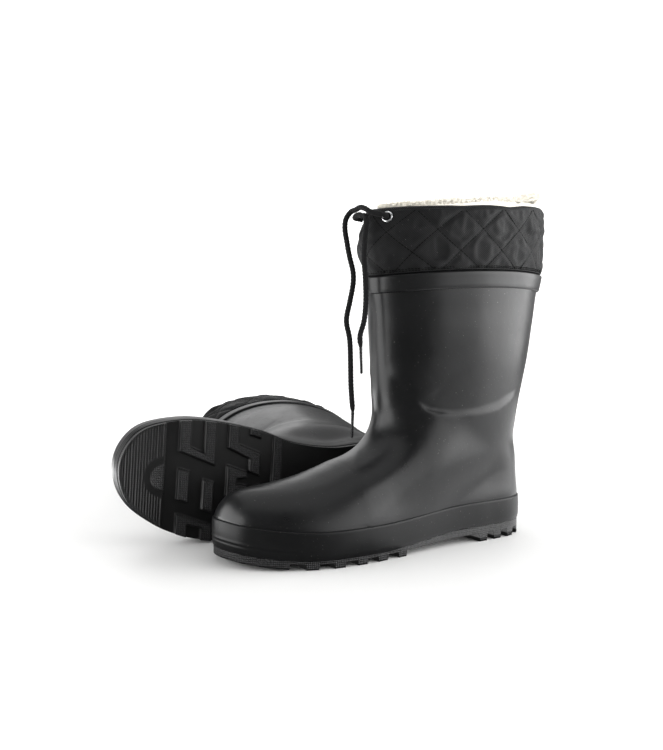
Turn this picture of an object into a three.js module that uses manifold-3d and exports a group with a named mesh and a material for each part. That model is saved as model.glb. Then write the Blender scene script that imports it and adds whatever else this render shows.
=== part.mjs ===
// A pair of lined rubber winter boots with a quilted, drawstring collar.
// The left boot stands upright and the right boot lies on its outer side beside it.
// Millimetres, +Z up. The origin is under the left heel, on the bottom of its front lug.
import * as THREE from 'three';
import { mergeVertices } from 'three/addons/utils/BufferGeometryUtils.js';
import Module from 'manifold-3d';

const wasm = await Module();
wasm.setup();

// ---- Driving dimensions -------------------------------------------------------------------
// Each boot is drawn in its own frame: x from the back of the heel to the toe, y towards the
// outer side of the foot, z up from the ground.
const ORIGIN_X = 61; // the front heel lug, which is the part's origin
const SOLE_LENGTH = 292.6;
const TOE_SPRING = 7;
const TOE_SPRING_START_X = 225;
const FOREFOOT_LUG = 4;
const HEEL_LUG = 7;
const SOLE_TOP_FOREFOOT = 7;
const SOLE_TOP_HEEL = 14;
const FOXING_TOP_FOREFOOT = 29;
const FOXING_TOP_HEEL = 34.5;
const FOXING_THICKNESS = 1.7;
const UPPER_INSET = 2.8; // the upper stands this far inside the foxing's outer face
const RUBBER_THICKNESS = 2.2;
const BAND_WIDTH = 14;
const BAND_THICKNESS = 1.2;
const BAND_DROP = 0.6; // the band's top edge, below the top of the rubber
const SEAM_HEIGHT = 228; // the top of the rubber at the front, where the collar starts
const COLLAR_HEIGHT = 56;
const COLLAR_WALL = 2.4;
const TONGUE_THICKNESS = 1.6;
const TONGUE_DEPTH = 12; // how far the collar reaches down inside the rubber
const HEM_DEPTH = 14;
const HEM_WIDTH = 10;
const HEM_CORNER = 2.5;
const LINING_DEPTH = 5.2;
const LINING_THICKNESS = 5;
const HEM_LINING_DEPTH = 11.2;
const HEM_LINING_THICKNESS = 4;
const STIFFENER_THICKNESS = 1.2;
const BOARD_THICKNESS = 2.4;
const BOARD_INSET = 8;
const FOOTBED_THICKNESS = 6;
const FOOTBED_INSET = 17;
const BACK_STRIP_HALF_WIDTH = 3;
const BACK_STRIP_THICKNESS = 1.2;
const CORD_RADIUS = 2.3;
const EYELET_BORE = 3.25; // radii, from the bore out to the flange
const EYELET_BARREL = 3.65;
const EYELET_HOLE = 4;
const EYELET_RADIUS = 4.9;
const EYELET_DROP = 8; // the eyelets' centres, below the collar's top edge
const EYELET_FLANGE = 1.2; // how far an eyelet stands out of the collar
const AGLET_RADIUS = 1.3;
const AGLET_TAPER = 0.75;
const TUNNEL_DEPTH = 5.5; // the hem cord's middle, inside the collar's face
const GAP = 0.3; // left between pieces that touch
const SEGMENTS = 24; // points round the shaft
const LYING_YAW_DEG = -98.2;
const LYING_PITCH_DEG = -3.2;
const LYING_ROLL_DEG = 88.69;
const LYING_POSITION = [-47.6, 6.7, 41.6]; // where the lying boot's own origin is

// The sole's outline, seen from above, from the back of the heel round the outer side.
const OUTLINE = [
  [0, 0], [6, 20], [24, 33], [56, 38], [99, 40.5], [148, 47.5], [190, 52.5], [215, 52.5],
  [237, 48], [260, 38], [284, 19], [SOLE_LENGTH, -6.5], [288, -27.5], [273.5, -44],
  [241, -52.5], [210, -51.5], [170, -44], [139, -34], [98, -29.5], [59, -33.5],
  [24, -31.5], [7, -21],
];

// The shaft: its back and front edges along x, and its half width, by height.
const SHAFT_BACK = [[60, 3], [85, 3.5], [107, 1], [133, -5], [162, -12], [190, -17.5],
  [214, -21.5], [231, -26], [257, -27], [290, -28]];
const SHAFT_FRONT = [[60, 146], [107, 146], [133, 148], [162, 149.5], [190, 151],
  [214, 153.5], [231, 154.5], [257, 159.5], [290, 152.5]];
const SHAFT_HALF_WIDTH = [[60, 39], [85, 41], [107, 43], [133, 44.5], [162, 46], [190, 47.5],
  [214, 48.5], [231, 49], [257, 51.5], [290, 50]];
// The vamp's height over the ground, and the middle of the foot across, by distance from the heel.
const VAMP_HEIGHT = [[110, 88], [150, 84], [183, 77], [200, 71], [225, 64], [249, 60],
  [264, 58.5], [280, 58], [300, 56]];
const FOOT_MIDDLE = [[0, 0], [60, 1.5], [150, 6], [215, 0], [292, -6]];
const VAMP_CROWN = 20; // how far the vamp falls from its middle to its half width
const VAMP_HALF_WIDTH = 50;
const VAMP_ROUNDING = 26;
const INSTEP_ROUNDING = 36;
const HEEL_ROUNDING = 6;
const SHAFT_FOOT_HEIGHT = 60;
const SHAFT_FOOT_ROUNDING = 20;

// ---- Small maths --------------------------------------------------------------------------
const radians = (degrees) => degrees * Math.PI / 180;
const mix = (a, b, t) => a + (b - a) * t;
const clamp01 = (t) => Math.min(1, Math.max(0, t));

function smoothStep(from, to, value) {
  const t = clamp01((value - from) / (to - from));
  return t * t * (3 - 2 * t);
}

function smoothMin(a, b, rounding) {
  const t = clamp01(0.5 + 0.5 * (b - a) / rounding);
  return mix(b, a, t) - rounding * t * (1 - t);
}

const smoothMax = (a, b, rounding) => -smoothMin(-a, -b, rounding);

/** A monotone cubic through [position, value] knots, held level past both ends. */
function curveThrough(knots) {
  const slopes = knots.slice(1).map(([x, v], i) => (v - knots[i][1]) / (x - knots[i][0]));
  const tangents = knots.map((_, i) => {
    const before = slopes[i - 1] ?? 0;
    const after = slopes[i] ?? 0;
    return before * after > 0 ? 2 * before * after / (before + after) : 0;
  });
  return (position) => {
    const last = knots.length - 1;
    const x = Math.min(knots[last][0], Math.max(knots[0][0], position));
    let i = 0;
    while (i < last - 1 && x > knots[i + 1][0]) i += 1;
    const width = knots[i + 1][0] - knots[i][0];
    const t = (x - knots[i][0]) / width;
    return mix(knots[i][1], knots[i + 1][1], t * t * (3 - 2 * t))
      + width * t * (1 - t) * ((1 - t) * tangents[i] - t * tangents[i + 1]);
  };
}

const shaftBack = curveThrough(SHAFT_BACK);
const shaftFront = curveThrough(SHAFT_FRONT);
const shaftHalfWidth = curveThrough(SHAFT_HALF_WIDTH);
const vampHeight = curveThrough(VAMP_HEIGHT);
const footMiddle = curveThrough(FOOT_MIDDLE);

// ---- Heights along the sole ---------------------------------------------------------------
function toeSpring(x) {
  const along = Math.max(0, x - TOE_SPRING_START_X) / (SOLE_LENGTH - TOE_SPRING_START_X);
  return TOE_SPRING * along * along;
}

const heelShare = (x) => 1 - smoothStep(70, 180, x);
const soleTop = (x) => mix(SOLE_TOP_FOREFOOT, SOLE_TOP_HEEL, heelShare(x)) + toeSpring(x);
const soleUnderside = (x) => mix(FOREFOOT_LUG, HEEL_LUG, heelShare(x)) + toeSpring(x);
const foxingTop = (x) => mix(FOXING_TOP_FOREFOOT, FOXING_TOP_HEEL, heelShare(x)) + toeSpring(x);

// ---- Heights round the shaft, by the angle from its front ---------------------------------
const backShare = (angle) => (1 - Math.cos(angle)) / 2;
const seamHeight = (angle) => SEAM_HEIGHT + 3 * backShare(angle) + 4 * Math.sin(angle) ** 2;
const collarTop = (angle) => SEAM_HEIGHT + COLLAR_HEIGHT + 8 * backShare(angle);
const liningTop = (angle) => collarTop(angle) + 2 + 6 * backShare(angle);

// Points are closer together at the front and back, where the shaft curves most.
const shaftAngle = (turn) => turn - radians(4) * Math.sin(2 * turn);
const TURNS = Array.from({ length: SEGMENTS }, (_, j) => shaftAngle(2 * Math.PI * j / SEGMENTS));

/** A point round the shaft: an angle from the front, a height and a distance out of the skin. */
function shaftPoint(angle, height, out) {
  const back = shaftBack(height);
  const front = shaftFront(height);
  const middle = (back + front) / 2;
  const depth = (front - back) / 2;
  const width = shaftHalfWidth(height);
  const normal = new THREE.Vector3(Math.cos(angle) / depth, Math.sin(angle) / width, 0);
  normal.normalize();
  const skin = new THREE.Vector3(middle + depth * Math.cos(angle), width * Math.sin(angle), height);
  return skin.addScaledVector(normal, out);
}

// ---- The outline --------------------------------------------------------------------------
const outlineCurve = new THREE.CatmullRomCurve3(
  OUTLINE.map(([x, y]) => new THREE.Vector3(x, y, 0)), true, 'centripetal');

function outlinePoints(count, inset) {
  return Array.from({ length: count }, (_, i) => {
    const point = outlineCurve.getPoint(i / count);
    const along = outlineCurve.getTangent(i / count);
    return new THREE.Vector2(point.x - along.y * -inset, point.y + along.x * -inset);
  });
}

const FINE_OUTLINE = outlinePoints(5 * OUTLINE.length, 0);

/** The distance outside the sole's outline, negative inside it. */
function outlineDistance(x, y) {
  let nearest = Infinity;
  let inside = false;
  let a = FINE_OUTLINE[FINE_OUTLINE.length - 1];
  for (const b of FINE_OUTLINE) {
    const dx = b.x - a.x;
    const dy = b.y - a.y;
    const t = clamp01(((x - a.x) * dx + (y - a.y) * dy) / (dx * dx + dy * dy));
    nearest = Math.min(nearest, Math.hypot(x - a.x - t * dx, y - a.y - t * dy));
    if ((a.y > y) !== (b.y > y) && x < a.x + dx * (y - a.y) / dy) inside = !inside;
    a = b;
  }
  return inside ? -nearest : nearest;
}

// ---- The boot's outer skin, as a distance that is negative inside -------------------------
function shaftDistance(x, y, z) {
  const back = shaftBack(z);
  const front = shaftFront(z);
  const depth = (front - back) / 2;
  const width = shaftHalfWidth(z);
  const across = x - (front + back) / 2;
  const near = Math.hypot(across / depth, y / width) + 1e-9;
  const slope = Math.hypot(across / depth ** 2, y / width ** 2) + 1e-9;
  return near * (near - 1) / slope;
}

function footDistance(x, y, z) {
  const crown = VAMP_CROWN * ((y - footMiddle(x)) / VAMP_HALF_WIDTH) ** 2 * smoothStep(90, 180, x);
  const above = 0.95 * (z - vampHeight(x) + crown);
  return smoothMax(outlineDistance(x, y) + UPPER_INSET, above, VAMP_ROUNDING);
}

function bootDistance(x, y, z) {
  const rounding = mix(HEEL_ROUNDING, INSTEP_ROUNDING, smoothStep(40, 125, x));
  const shaft = smoothMax(shaftDistance(x, y, z), SHAFT_FOOT_HEIGHT - z, SHAFT_FOOT_ROUNDING);
  return smoothMin(shaft, footDistance(x, y, z), rounding);
}

// ---- Rays that reach every part of the skin once ------------------------------------------
// They start on a line that runs from the toe to the heel and turns up the shaft.
// SPREADs are how wide a fan of rays opens along x, y and z.
const TOE_CENTRE = new THREE.Vector3(235, -3, 34);
const TOE_SPREAD = new THREE.Vector3(55, 48, 26);
const TOE_ANGLES = [20, 38, 56, 74];
const TOE_DROP_DEG = 25; // the toe's middle ray points down behind the foxing
const STATIONS = [235, 212];
const STATION_HEIGHT = 36;
const STATION_SPREAD = new THREE.Vector3(0, 50, 30);
const BEND_CENTRE = new THREE.Vector3(188, 0, 128);
const BEND_REACH = 93; // from the centre to where the rays start, at the toe's end of the bend
const BEND_REACH_GAIN = 23.4; // and how much further away it is at the shaft's end
const BEND_REACH_BULGE = 12;
const BEND_SPREAD = new THREE.Vector3(78, 45, 36);
const RAY_STEP = 3;
const RAY_HALVINGS = 22;
const FLOOR_ROUNDING = 3; // between the inside of the wall and the top of the sole
const BEND_ANGLES = [0, 13, 26, 38, 49, 57.5, 63, 71, 80, 90];
const SHAFT_HEIGHTS = [152, 178, 200];

function toeRow(degrees) {
  const drop = radians(TOE_DROP_DEG * (1 - degrees / 90));
  const polar = radians(degrees);
  return TURNS.map((turn) => {
    const forward = TOE_SPREAD.x * Math.cos(polar);
    const up = TOE_SPREAD.z * Math.sin(polar) * Math.cos(turn);
    const direction = new THREE.Vector3(
      forward * Math.cos(drop) + up * Math.sin(drop),
      TOE_SPREAD.y * Math.sin(polar) * Math.sin(turn),
      up * Math.cos(drop) - forward * Math.sin(drop));
    return { from: TOE_CENTRE, direction: direction.normalize() };
  });
}

function stationRow(x) {
  const from = new THREE.Vector3(x, footMiddle(x), STATION_HEIGHT);
  return TURNS.map((turn) => {
    const direction = new THREE.Vector3(0, Math.sin(turn), Math.cos(turn)).multiply(STATION_SPREAD);
    return { from, direction: direction.normalize() };
  });
}

function bendRow(degrees) {
  const bend = radians(degrees);
  const reach = BEND_REACH + BEND_REACH_GAIN * degrees / 90
    + BEND_REACH_BULGE * Math.sin(2 * bend);
  const from = new THREE.Vector3(-Math.sin(bend), 0, -Math.cos(bend)).multiplyScalar(reach)
    .add(BEND_CENTRE);
  from.y = 2 * Math.cos(bend);
  return TURNS.map((turn) => {
    const inward = mix(BEND_SPREAD.z, BEND_SPREAD.x, Math.sin(bend)) * Math.cos(turn);
    const direction = new THREE.Vector3(
      inward * Math.sin(bend), BEND_SPREAD.y * Math.sin(turn), inward * Math.cos(bend));
    return { from, direction: direction.normalize() };
  });
}

function shaftRow(heightAt) {
  return TURNS.map((turn) => {
    const height = heightAt(turn);
    const from = shaftPoint(turn, height, 0);
    const skin = from.clone();
    from.set((shaftBack(height) + shaftFront(height)) / 2, 0, height);
    return { from, direction: skin.sub(from).normalize() };
  });
}

const FOOT_ROWS = [...TOE_ANGLES.map(toeRow), ...STATIONS.map(stationRow),
  ...BEND_ANGLES.map(bendRow)];
const UPPER_ROWS = [...FOOT_ROWS, ...SHAFT_HEIGHTS.map((height) => shaftRow(() => height)),
  shaftRow((turn) => seamHeight(turn) - BAND_DROP - BAND_WIDTH), shaftRow(seamHeight)];
const LINING_ROWS = [...UPPER_ROWS,
  shaftRow((turn) => collarTop(turn) - 34),
  shaftRow((turn) => collarTop(turn) - HEM_DEPTH - 5),
  shaftRow(liningTop)].map((row) => row.filter((ray, j) => j % 2 === 0));

/** Where a ray leaves the boot at a depth under its skin and a height over the sole. */
function rayPoint({ from, direction }, depthAt, bottom) {
  const point = new THREE.Vector3();
  const outside = (t) => {
    point.copy(from).addScaledVector(direction, t);
    const wall = bootDistance(point.x, point.y, point.z) + depthAt(point);
    return smoothMax(wall, soleTop(point.x) + bottom - point.z, FLOOR_ROUNDING) > 0;
  };
  let near = 0;
  let far = RAY_STEP;
  while (!outside(far)) {
    near = far;
    far += RAY_STEP;
  }
  for (let i = 0; i < RAY_HALVINGS; i += 1) {
    const middle = (near + far) / 2;
    if (outside(middle)) far = middle;
    else near = middle;
  }
  return point.copy(from).addScaledVector(direction, far).clone();
}

// ---- Meshes from sections -----------------------------------------------------------------
/** A closed body through sections of points, looped, or closed by points or by flat strips. */
function loft(sections, ends) {
  const size = sections[0].length;
  const triangles = [];
  const points = sections.flat();
  const positions = points.flatMap((point) => [point.x, point.y, point.z]);
  const at = (i, j) => (i % sections.length) * size + (j % size);
  const apart = (a, b) => points[a].distanceTo(points[b]);
  const quad = (a, b, c, d) => triangles.push(
    ...(apart(a, c) < apart(b, d) ? [a, b, c, a, c, d] : [a, b, d, b, c, d]));
  const spans = ends === 'looped' ? sections.length : sections.length - 1;
  for (let i = 0; i < spans; i += 1) {
    for (let j = 0; j < size; j += 1) quad(at(i, j), at(i + 1, j), at(i + 1, j + 1), at(i, j + 1));
  }
  if (ends === 'strips') {
    for (const [i, flip] of [[0, false], [sections.length - 1, true]]) {
      for (let j = 0; j < size / 2 - 1; j += 1) {
        const corners = [at(i, j), at(i, j + 1), at(i, size - 2 - j), at(i, size - 1 - j)];
        quad(...(flip ? corners.reverse() : corners));
      }
    }
  }
  if (ends === 'points') {
    for (const [i, flip] of [[0, false], [sections.length - 1, true]]) {
      const middle = new THREE.Vector3();
      sections[i].forEach((point) => middle.addScaledVector(point, 1 / size));
      positions.push(middle.x, middle.y, middle.z);
      const centre = positions.length / 3 - 1;
      for (let j = 0; j < size; j += 1) {
        triangles.push(centre, ...(flip ? [at(i, j + 1), at(i, j)] : [at(i, j), at(i, j + 1)]));
      }
    }
  }
  return closedGeometry(positions, triangles);
}

/** A geometry whose faces all point out. */
function closedGeometry(positions, triangles) {
  const corner = (i) => new THREE.Vector3().fromArray(positions, 3 * triangles[i]);
  let volume = 0;
  for (let i = 0; i < triangles.length; i += 3) {
    volume += corner(i).dot(corner(i + 1).cross(corner(i + 2)));
  }
  const geometry = new THREE.BufferGeometry();
  geometry.setAttribute('position', new THREE.Float32BufferAttribute(positions, 3));
  geometry.setIndex(volume < 0 ? [...triangles].reverse() : triangles);
  geometry.computeVertexNormals();
  return geometry;
}

// ---- Solids that are cut and joined -------------------------------------------------------
function toSolid(geometry) {
  const bare = geometry.clone();
  bare.deleteAttribute('normal');
  bare.deleteAttribute('uv');
  const merged = mergeVertices(bare, 1e-4);
  return new wasm.Manifold(new wasm.Mesh({
    numProp: 3,
    vertProperties: new Float32Array(merged.attributes.position.array),
    triVerts: new Uint32Array(merged.index.array),
  }));
}

function toGeometry(solid) {
  const mesh = solid.getMesh();
  return closedGeometry([...mesh.vertProperties], [...mesh.triVerts]);
}

/** A flat outline extruded straight up. */
function upright(points, bottom, top) {
  const geometry = new THREE.ExtrudeGeometry(
    new THREE.Shape(points), { depth: top - bottom, bevelEnabled: false });
  return toSolid(geometry.translate(0, 0, bottom));
}

/** The slab between two heights that vary along the boot, wider than the boot. */
function slab(bottomAt, topAt) {
  const stations = [-10, 60, 90, 110, 125, 140, 160, 190, 225, 245, 262, 276, 288, 300];
  const below = stations.map((x) => new THREE.Vector2(x, bottomAt(x)));
  const above = stations.map((x) => new THREE.Vector2(x, topAt(x))).reverse();
  const geometry = new THREE.ExtrudeGeometry(
    new THREE.Shape([...below, ...above]), { depth: 140, bevelEnabled: false });
  return toSolid(geometry.rotateX(Math.PI / 2).translate(0, 70, 0));
}

/** A plate inside the outline and inside a wall, which follows the sole's top. */
function plate(inset, bottom, top, inside) {
  const solid = upright(outlinePoints(OUTLINE.length, inset), -20, 60)
    .intersect(slab((x) => soleTop(x) + bottom, (x) => soleTop(x) + top))
    .intersect(toSolid(inside));
  return toGeometry(solid);
}

// ---- The tread: lugs seen from above, with the outer side at +y ---------------------------
const TREAD_ROWS = {
  a: [232.5, 243],
  b: [210.5, 221],
  c: [190, 200],
  d: [169.5, 180],
  e: [149, 158.5],
};
const EDGE = 60; // past the sole's edge on either side, where the outline trims a lug

function bar([from, to], innerSide, outerSide) {
  return [[from, innerSide], [to, innerSide], [to, outerSide], [from, outerSide]];
}

function forefootLugs() {
  const { a, b, c, d, e } = TREAD_ROWS;
  const innerFork = [[a[1], -EDGE], [a[0], -EDGE], [a[0], -29.5], [b[1], -24], [b[1], -EDGE],
    [b[0], -EDGE], [b[0], -13], [a[1], -25.5]];
  const middleFront = [[a[1], -11.5], [a[0], -8.5], [a[0], 19], [a[1], 16]];
  const middleSecond = [[b[1], -2], [b[0], 1], [b[0], 28], [b[1], 25]];
  const outerFork = [[a[1], 27], [b[0], 38], [b[0], EDGE], [b[1], EDGE], [b[1], 41], [a[0], 38],
    [a[0], EDGE], [a[1], EDGE]];
  const innerHook = [[c[1], -EDGE], [c[0], -EDGE], [c[0], -32], [d[0], -24], [d[0], -3.5],
    [d[1], -8], [d[1], -19], [c[1], -28.5]];
  const innerBlock = [[d[1], -EDGE], [d[0], -EDGE], [d[0], -36.5], [d[1], -40]];
  const middleArrow = [[c[1], -14], [d[1], -6], [c[0], -3], [d[1] + 5, 1], [c[0], 3],
    [c[1], 15], [c[1] + 0.5, 5]];
  const outerHook = [[c[1], EDGE], [c[0], EDGE], [c[0], 33], [d[0], 22], [d[0], 3.5],
    [d[1], 7], [d[1], 17], [c[1], 29]];
  const outerBlock = [[d[1], EDGE], [d[0], EDGE], [d[0], 36], [d[1], 39]];
  return [innerFork, middleFront, middleSecond, outerFork, innerHook, innerBlock, middleArrow,
    outerHook, outerBlock, bar(e, -EDGE, EDGE), bar([254, 300], -EDGE, EDGE)];
}

function heelLugs() {
  const pitch = 17;
  const width = 9.5;
  const lugs = [bar([56, 66], -EDGE, EDGE)];
  for (let i = 0; i < 3; i += 1) {
    const from = 5 + pitch * i;
    lugs.push(bar([from, from + width], 10, EDGE), bar([from, from + width], -EDGE, -10));
  }
  lugs.push([[12, -5], [20, -5], [46, -5], [50, 0], [46, 5], [12, 5]]);
  return lugs;
}

function outsole() {
  const trim = upright(outlinePoints(2 * OUTLINE.length, 1), -5, 40);
  const base = trim.intersect(slab(soleUnderside, (x) => soleTop(x) - GAP));
  const lugs = [...forefootLugs(), ...heelLugs()]
    .map((points) => upright(points.map(([x, y]) => new THREE.Vector2(x, y)), -5, 30));
  const tread = lugs.reduce((joined, lug) => joined.add(lug))
    .intersect(upright(outlinePoints(2 * OUTLINE.length, 1.6), -6, 41))
    .intersect(slab(toeSpring, (x) => soleUnderside(x) + 1));
  return toGeometry(base.add(tread));
}

// ---- The rubber pieces --------------------------------------------------------------------
/** The rubber wall round the edge of the sole. */
function foxing() {
  const count = 2 * OUTLINE.length;
  const outer = outlinePoints(count, 0);
  const pulledIn = outlinePoints(count, 0.6);
  const inner = outlinePoints(count, FOXING_THICKNESS);
  const at = (point, height) => new THREE.Vector3(point.x, point.y, height);
  return loft(outer.map((point, i) => {
    const low = soleTop(point.x);
    const high = foxingTop(point.x);
    return [at(pulledIn[i], low), at(point, low + 2), at(point, high - 3), at(pulledIn[i], high),
      at(inner[i], high), at(inner[i], low)];
  }), 'looped');
}

const atDepth = (depth) => () => depth;

/** The sections of a sock at one depth. */
function sockSections(rows, depthAt, bottom) {
  return rows.map((row) => row.map((ray) => rayPoint(ray, depthAt, bottom)));
}

/** A sock-shaped wall between two depths, open at the top. */
function sock(rows, outerDepth, outerBottom, innerDepth, innerBottom) {
  const inner = sockSections(rows, innerDepth, innerBottom).reverse();
  return loft([...sockSections(rows, outerDepth, outerBottom), ...inner], 'points');
}

/** Everything inside a sock at one depth. */
const filledSock = (rows, depthAt, bottom) => loft(sockSections(rows, depthAt, bottom), 'points');

const upper = () => sock(
  UPPER_ROWS, atDepth(0), GAP, atDepth(RUBBER_THICKNESS), RUBBER_THICKNESS + GAP);

/** The raised rubber strip round the top of the upper. */
function topBand() {
  return loft(TURNS.map((turn) => {
    const high = seamHeight(turn) - BAND_DROP;
    const low = high - BAND_WIDTH;
    const outside = GAP + BAND_THICKNESS;
    return [shaftPoint(turn, low, GAP), shaftPoint(turn, low + 0.5, outside),
      shaftPoint(turn, high, outside), shaftPoint(turn, high, GAP)];
  }), 'looped');
}

/** The narrow raised strip that covers the join up the back of the upper. */
function backStrip() {
  const heights = [40, 60, 85, 107, 128, 152, 178, 204, 212];
  const sections = heights.map((height) => {
    const edge = (y, out) => {
      const ray = { from: new THREE.Vector3(75, y, height), direction: new THREE.Vector3(-1, 0, 0) };
      return rayPoint(ray, atDepth(-out), GAP);
    };
    return [edge(-BACK_STRIP_HALF_WIDTH, -2), edge(BACK_STRIP_HALF_WIDTH, -2),
      edge(BACK_STRIP_HALF_WIDTH, BACK_STRIP_THICKNESS),
      edge(-BACK_STRIP_HALF_WIDTH, BACK_STRIP_THICKNESS)];
  });
  const skin = toSolid(filledSock(UPPER_ROWS, atDepth(-GAP), 0));
  return toGeometry(toSolid(loft(sections, 'strips')).subtract(skin));
}

// ---- The stiffeners inside the upper ------------------------------------------------------
/** A thin sheet under part of the upper, over the rows and the turns given. */
function stiffener(rows, turns) {
  const face = (row, depth) => turns.map((j) => {
    const ray = row[(j + SEGMENTS) % SEGMENTS];
    return rayPoint(ray, atDepth(depth), depth + GAP);
  });
  const outside = RUBBER_THICKNESS + GAP;
  return loft(rows.map((row) => [
    ...face(row, outside), ...face(row, outside + STIFFENER_THICKNESS).reverse()]), 'strips');
}

const between = (first, last) => Array.from({ length: last - first + 1 }, (_, i) => first + i);
const HEEL_ROWS = FOOT_ROWS.slice(-4, -1);
const TOE_ROWS = FOOT_ROWS.slice(1, 5);
const heelCounter = () => stiffener(HEEL_ROWS, between(8, 16));
const toePuff = () => stiffener(TOE_ROWS, between(-7, 7));
const BOARD_BOTTOM = RUBBER_THICKNESS + 2 * GAP;
const insoleBoard = () => plate(
  BOARD_INSET, BOARD_BOTTOM, BOARD_BOTTOM + BOARD_THICKNESS,
  filledSock(UPPER_ROWS, atDepth(RUBBER_THICKNESS + STIFFENER_THICKNESS + 2 * GAP), BOARD_BOTTOM));

// ---- The fleece lining and the loose footbed ----------------------------------------------
const LINING_BOTTOM = BOARD_BOTTOM + BOARD_THICKNESS + 0.5;
const LINING_SOLE_THICKNESS = 4;
const FOOTBED_BOTTOM = LINING_BOTTOM + LINING_SOLE_THICKNESS + GAP;

/** The lining is pushed in where the collar's hem and its cord are behind it. */
function liningDepth(plain, atHem) {
  return (point) => {
    const from = SEAM_HEIGHT + COLLAR_HEIGHT - 32;
    return mix(plain, atHem, smoothStep(from, from + 13, point.z));
  };
}

const lining = () => sock(
  LINING_ROWS, liningDepth(LINING_DEPTH, HEM_LINING_DEPTH), LINING_BOTTOM,
  liningDepth(LINING_DEPTH + LINING_THICKNESS, HEM_LINING_DEPTH + HEM_LINING_THICKNESS),
  LINING_BOTTOM + LINING_SOLE_THICKNESS);
const footbed = () => plate(
  FOOTBED_INSET, FOOTBED_BOTTOM, FOOTBED_BOTTOM + FOOTBED_THICKNESS,
  filledSock(LINING_ROWS, atDepth(LINING_DEPTH + LINING_THICKNESS + GAP), FOOTBED_BOTTOM));

// ---- The collar, its eyelets and its drawstring -------------------------------------------
/** An eyelet's place: on the second flat round from the front, on either side. */
function eyeletFrame(side) {
  const corner = (turn, drop) => shaftPoint(side * turn, collarTop(turn) - drop, 0);
  const [low, high] = [HEM_DEPTH + 6, HEM_CORNER].map((drop) => [TURNS[1], TURNS[2]]
    .map((turn) => corner(turn, drop)));
  const lowMiddle = low[0].clone().lerp(low[1], 0.5);
  const highMiddle = high[0].clone().lerp(high[1], 0.5);
  const rise = (HEM_DEPTH + 6 - EYELET_DROP) / (HEM_DEPTH + 6 - HEM_CORNER);
  const away = low[1].clone().sub(low[0]).setZ(0).normalize();
  const out = highMiddle.clone().sub(lowMiddle).cross(away).multiplyScalar(-side).normalize();
  return { middle: lowMiddle.lerp(highMiddle, rise), away, out };
}

function placed({ middle, away, out }, geometry) {
  const up = new THREE.Vector3().crossVectors(out, away);
  const matrix = new THREE.Matrix4().makeBasis(away, up, out).setPosition(middle);
  return geometry.applyMatrix4(matrix);
}

/** The quilted collar: a tongue inside the rubber, a wall, and a hem folded in over the cord. */
function collar() {
  const ring = loft(TURNS.map((turn) => {
    const seam = seamHeight(turn);
    const top = collarTop(turn);
    const tongueOut = -RUBBER_THICKNESS - GAP;
    const tongueIn = tongueOut - TONGUE_THICKNESS;
    const p = (out, height) => shaftPoint(turn, height, out);
    return [
      p(tongueOut, seam - TONGUE_DEPTH), p(tongueOut, seam + GAP), p(0, seam + GAP),
      p(0, top - HEM_DEPTH - 6), p(0, top - HEM_CORNER), p(-HEM_CORNER, top),
      p(-HEM_WIDTH + 2, top), p(-HEM_WIDTH, top - HEM_CORNER), p(-HEM_WIDTH, top - HEM_DEPTH),
      p(-HEM_WIDTH + 1.5, top - HEM_DEPTH), p(-HEM_WIDTH + 1.5, top - 3),
      p(-COLLAR_WALL, top - 3), p(-COLLAR_WALL, top - HEM_DEPTH - 6),
      p(tongueIn, seam + 18), p(tongueIn, seam), p(tongueIn, seam - TONGUE_DEPTH),
    ];
  }), 'looped');
  const holes = [1, -1].map((side) => {
    const hole = new THREE.CylinderGeometry(EYELET_HOLE, EYELET_HOLE, 6, 12).rotateX(Math.PI / 2);
    return toSolid(placed(eyeletFrame(side), hole.translate(0, 0, -1)));
  });
  return toGeometry(toSolid(ring).subtract(holes[0]).subtract(holes[1]));
}

/** A flanged metal ring through the collar's wall. */
function eyelet(side) {
  const under = GAP + 0.1;
  const profile = [[EYELET_BORE, -COLLAR_WALL], [EYELET_BARREL, -COLLAR_WALL],
    [EYELET_BARREL, under], [EYELET_RADIUS, under], [EYELET_RADIUS - 0.4, EYELET_FLANGE],
    [EYELET_BORE, EYELET_FLANGE], [EYELET_BORE, -COLLAR_WALL]].map(([radius, height]) => new THREE.Vector2(radius, height));
  const ring = mergeVertices(stripped(new THREE.LatheGeometry(profile, 12)), 1e-4);
  return placed(eyeletFrame(side), ring.rotateX(Math.PI / 2));
}

function stripped(geometry) {
  geometry.deleteAttribute('normal');
  geometry.deleteAttribute('uv');
  return geometry;
}

/** A round cord through the points given. */
function cord(points, steps, radius = CORD_RADIUS) {
  const circle = Array.from({ length: 8 }, (_, i) => new THREE.Vector2(
    radius * Math.cos(Math.PI * i / 4), radius * Math.sin(Math.PI * i / 4)));
  const path = new THREE.CatmullRomCurve3(points, false, 'centripetal');
  return new THREE.ExtrudeGeometry(
    new THREE.Shape(circle), { steps, bevelEnabled: false, extrudePath: path });
}

const vectors = (points) => points.map((point) => new THREE.Vector3(...point));
/** The cord's run inside the hem, from just past one eyelet round the back to the other. */
function hemCord() {
  const start = radians(33);
  const span = 2 * Math.PI - 2 * start;
  const points = Array.from({ length: 33 }, (_, i) => {
    const angle = start + span * i / 32;
    return shaftPoint(angle, collarTop(angle) - EYELET_DROP, -TUNNEL_DEPTH);
  });
  return cord(points, 30);
}

/** The cord's run from inside the hem, out through an eyelet and on to the crossing. */
function crossingCord(side, onwards) {
  const { middle, away, out } = eyeletFrame(side);
  const at = (along, outwards) => middle.clone().addScaledVector(away, along)
    .addScaledVector(out, outwards);
  return cord([at(9.2, -TUNNEL_DEPTH - 0.9), at(5.4, -TUNNEL_DEPTH + 0.2), at(2, -4.4),
    at(0.1, -1.6), at(0, 1.2), at(-0.2, 4.2), ...vectors(onwards)], 16);
}

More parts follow.
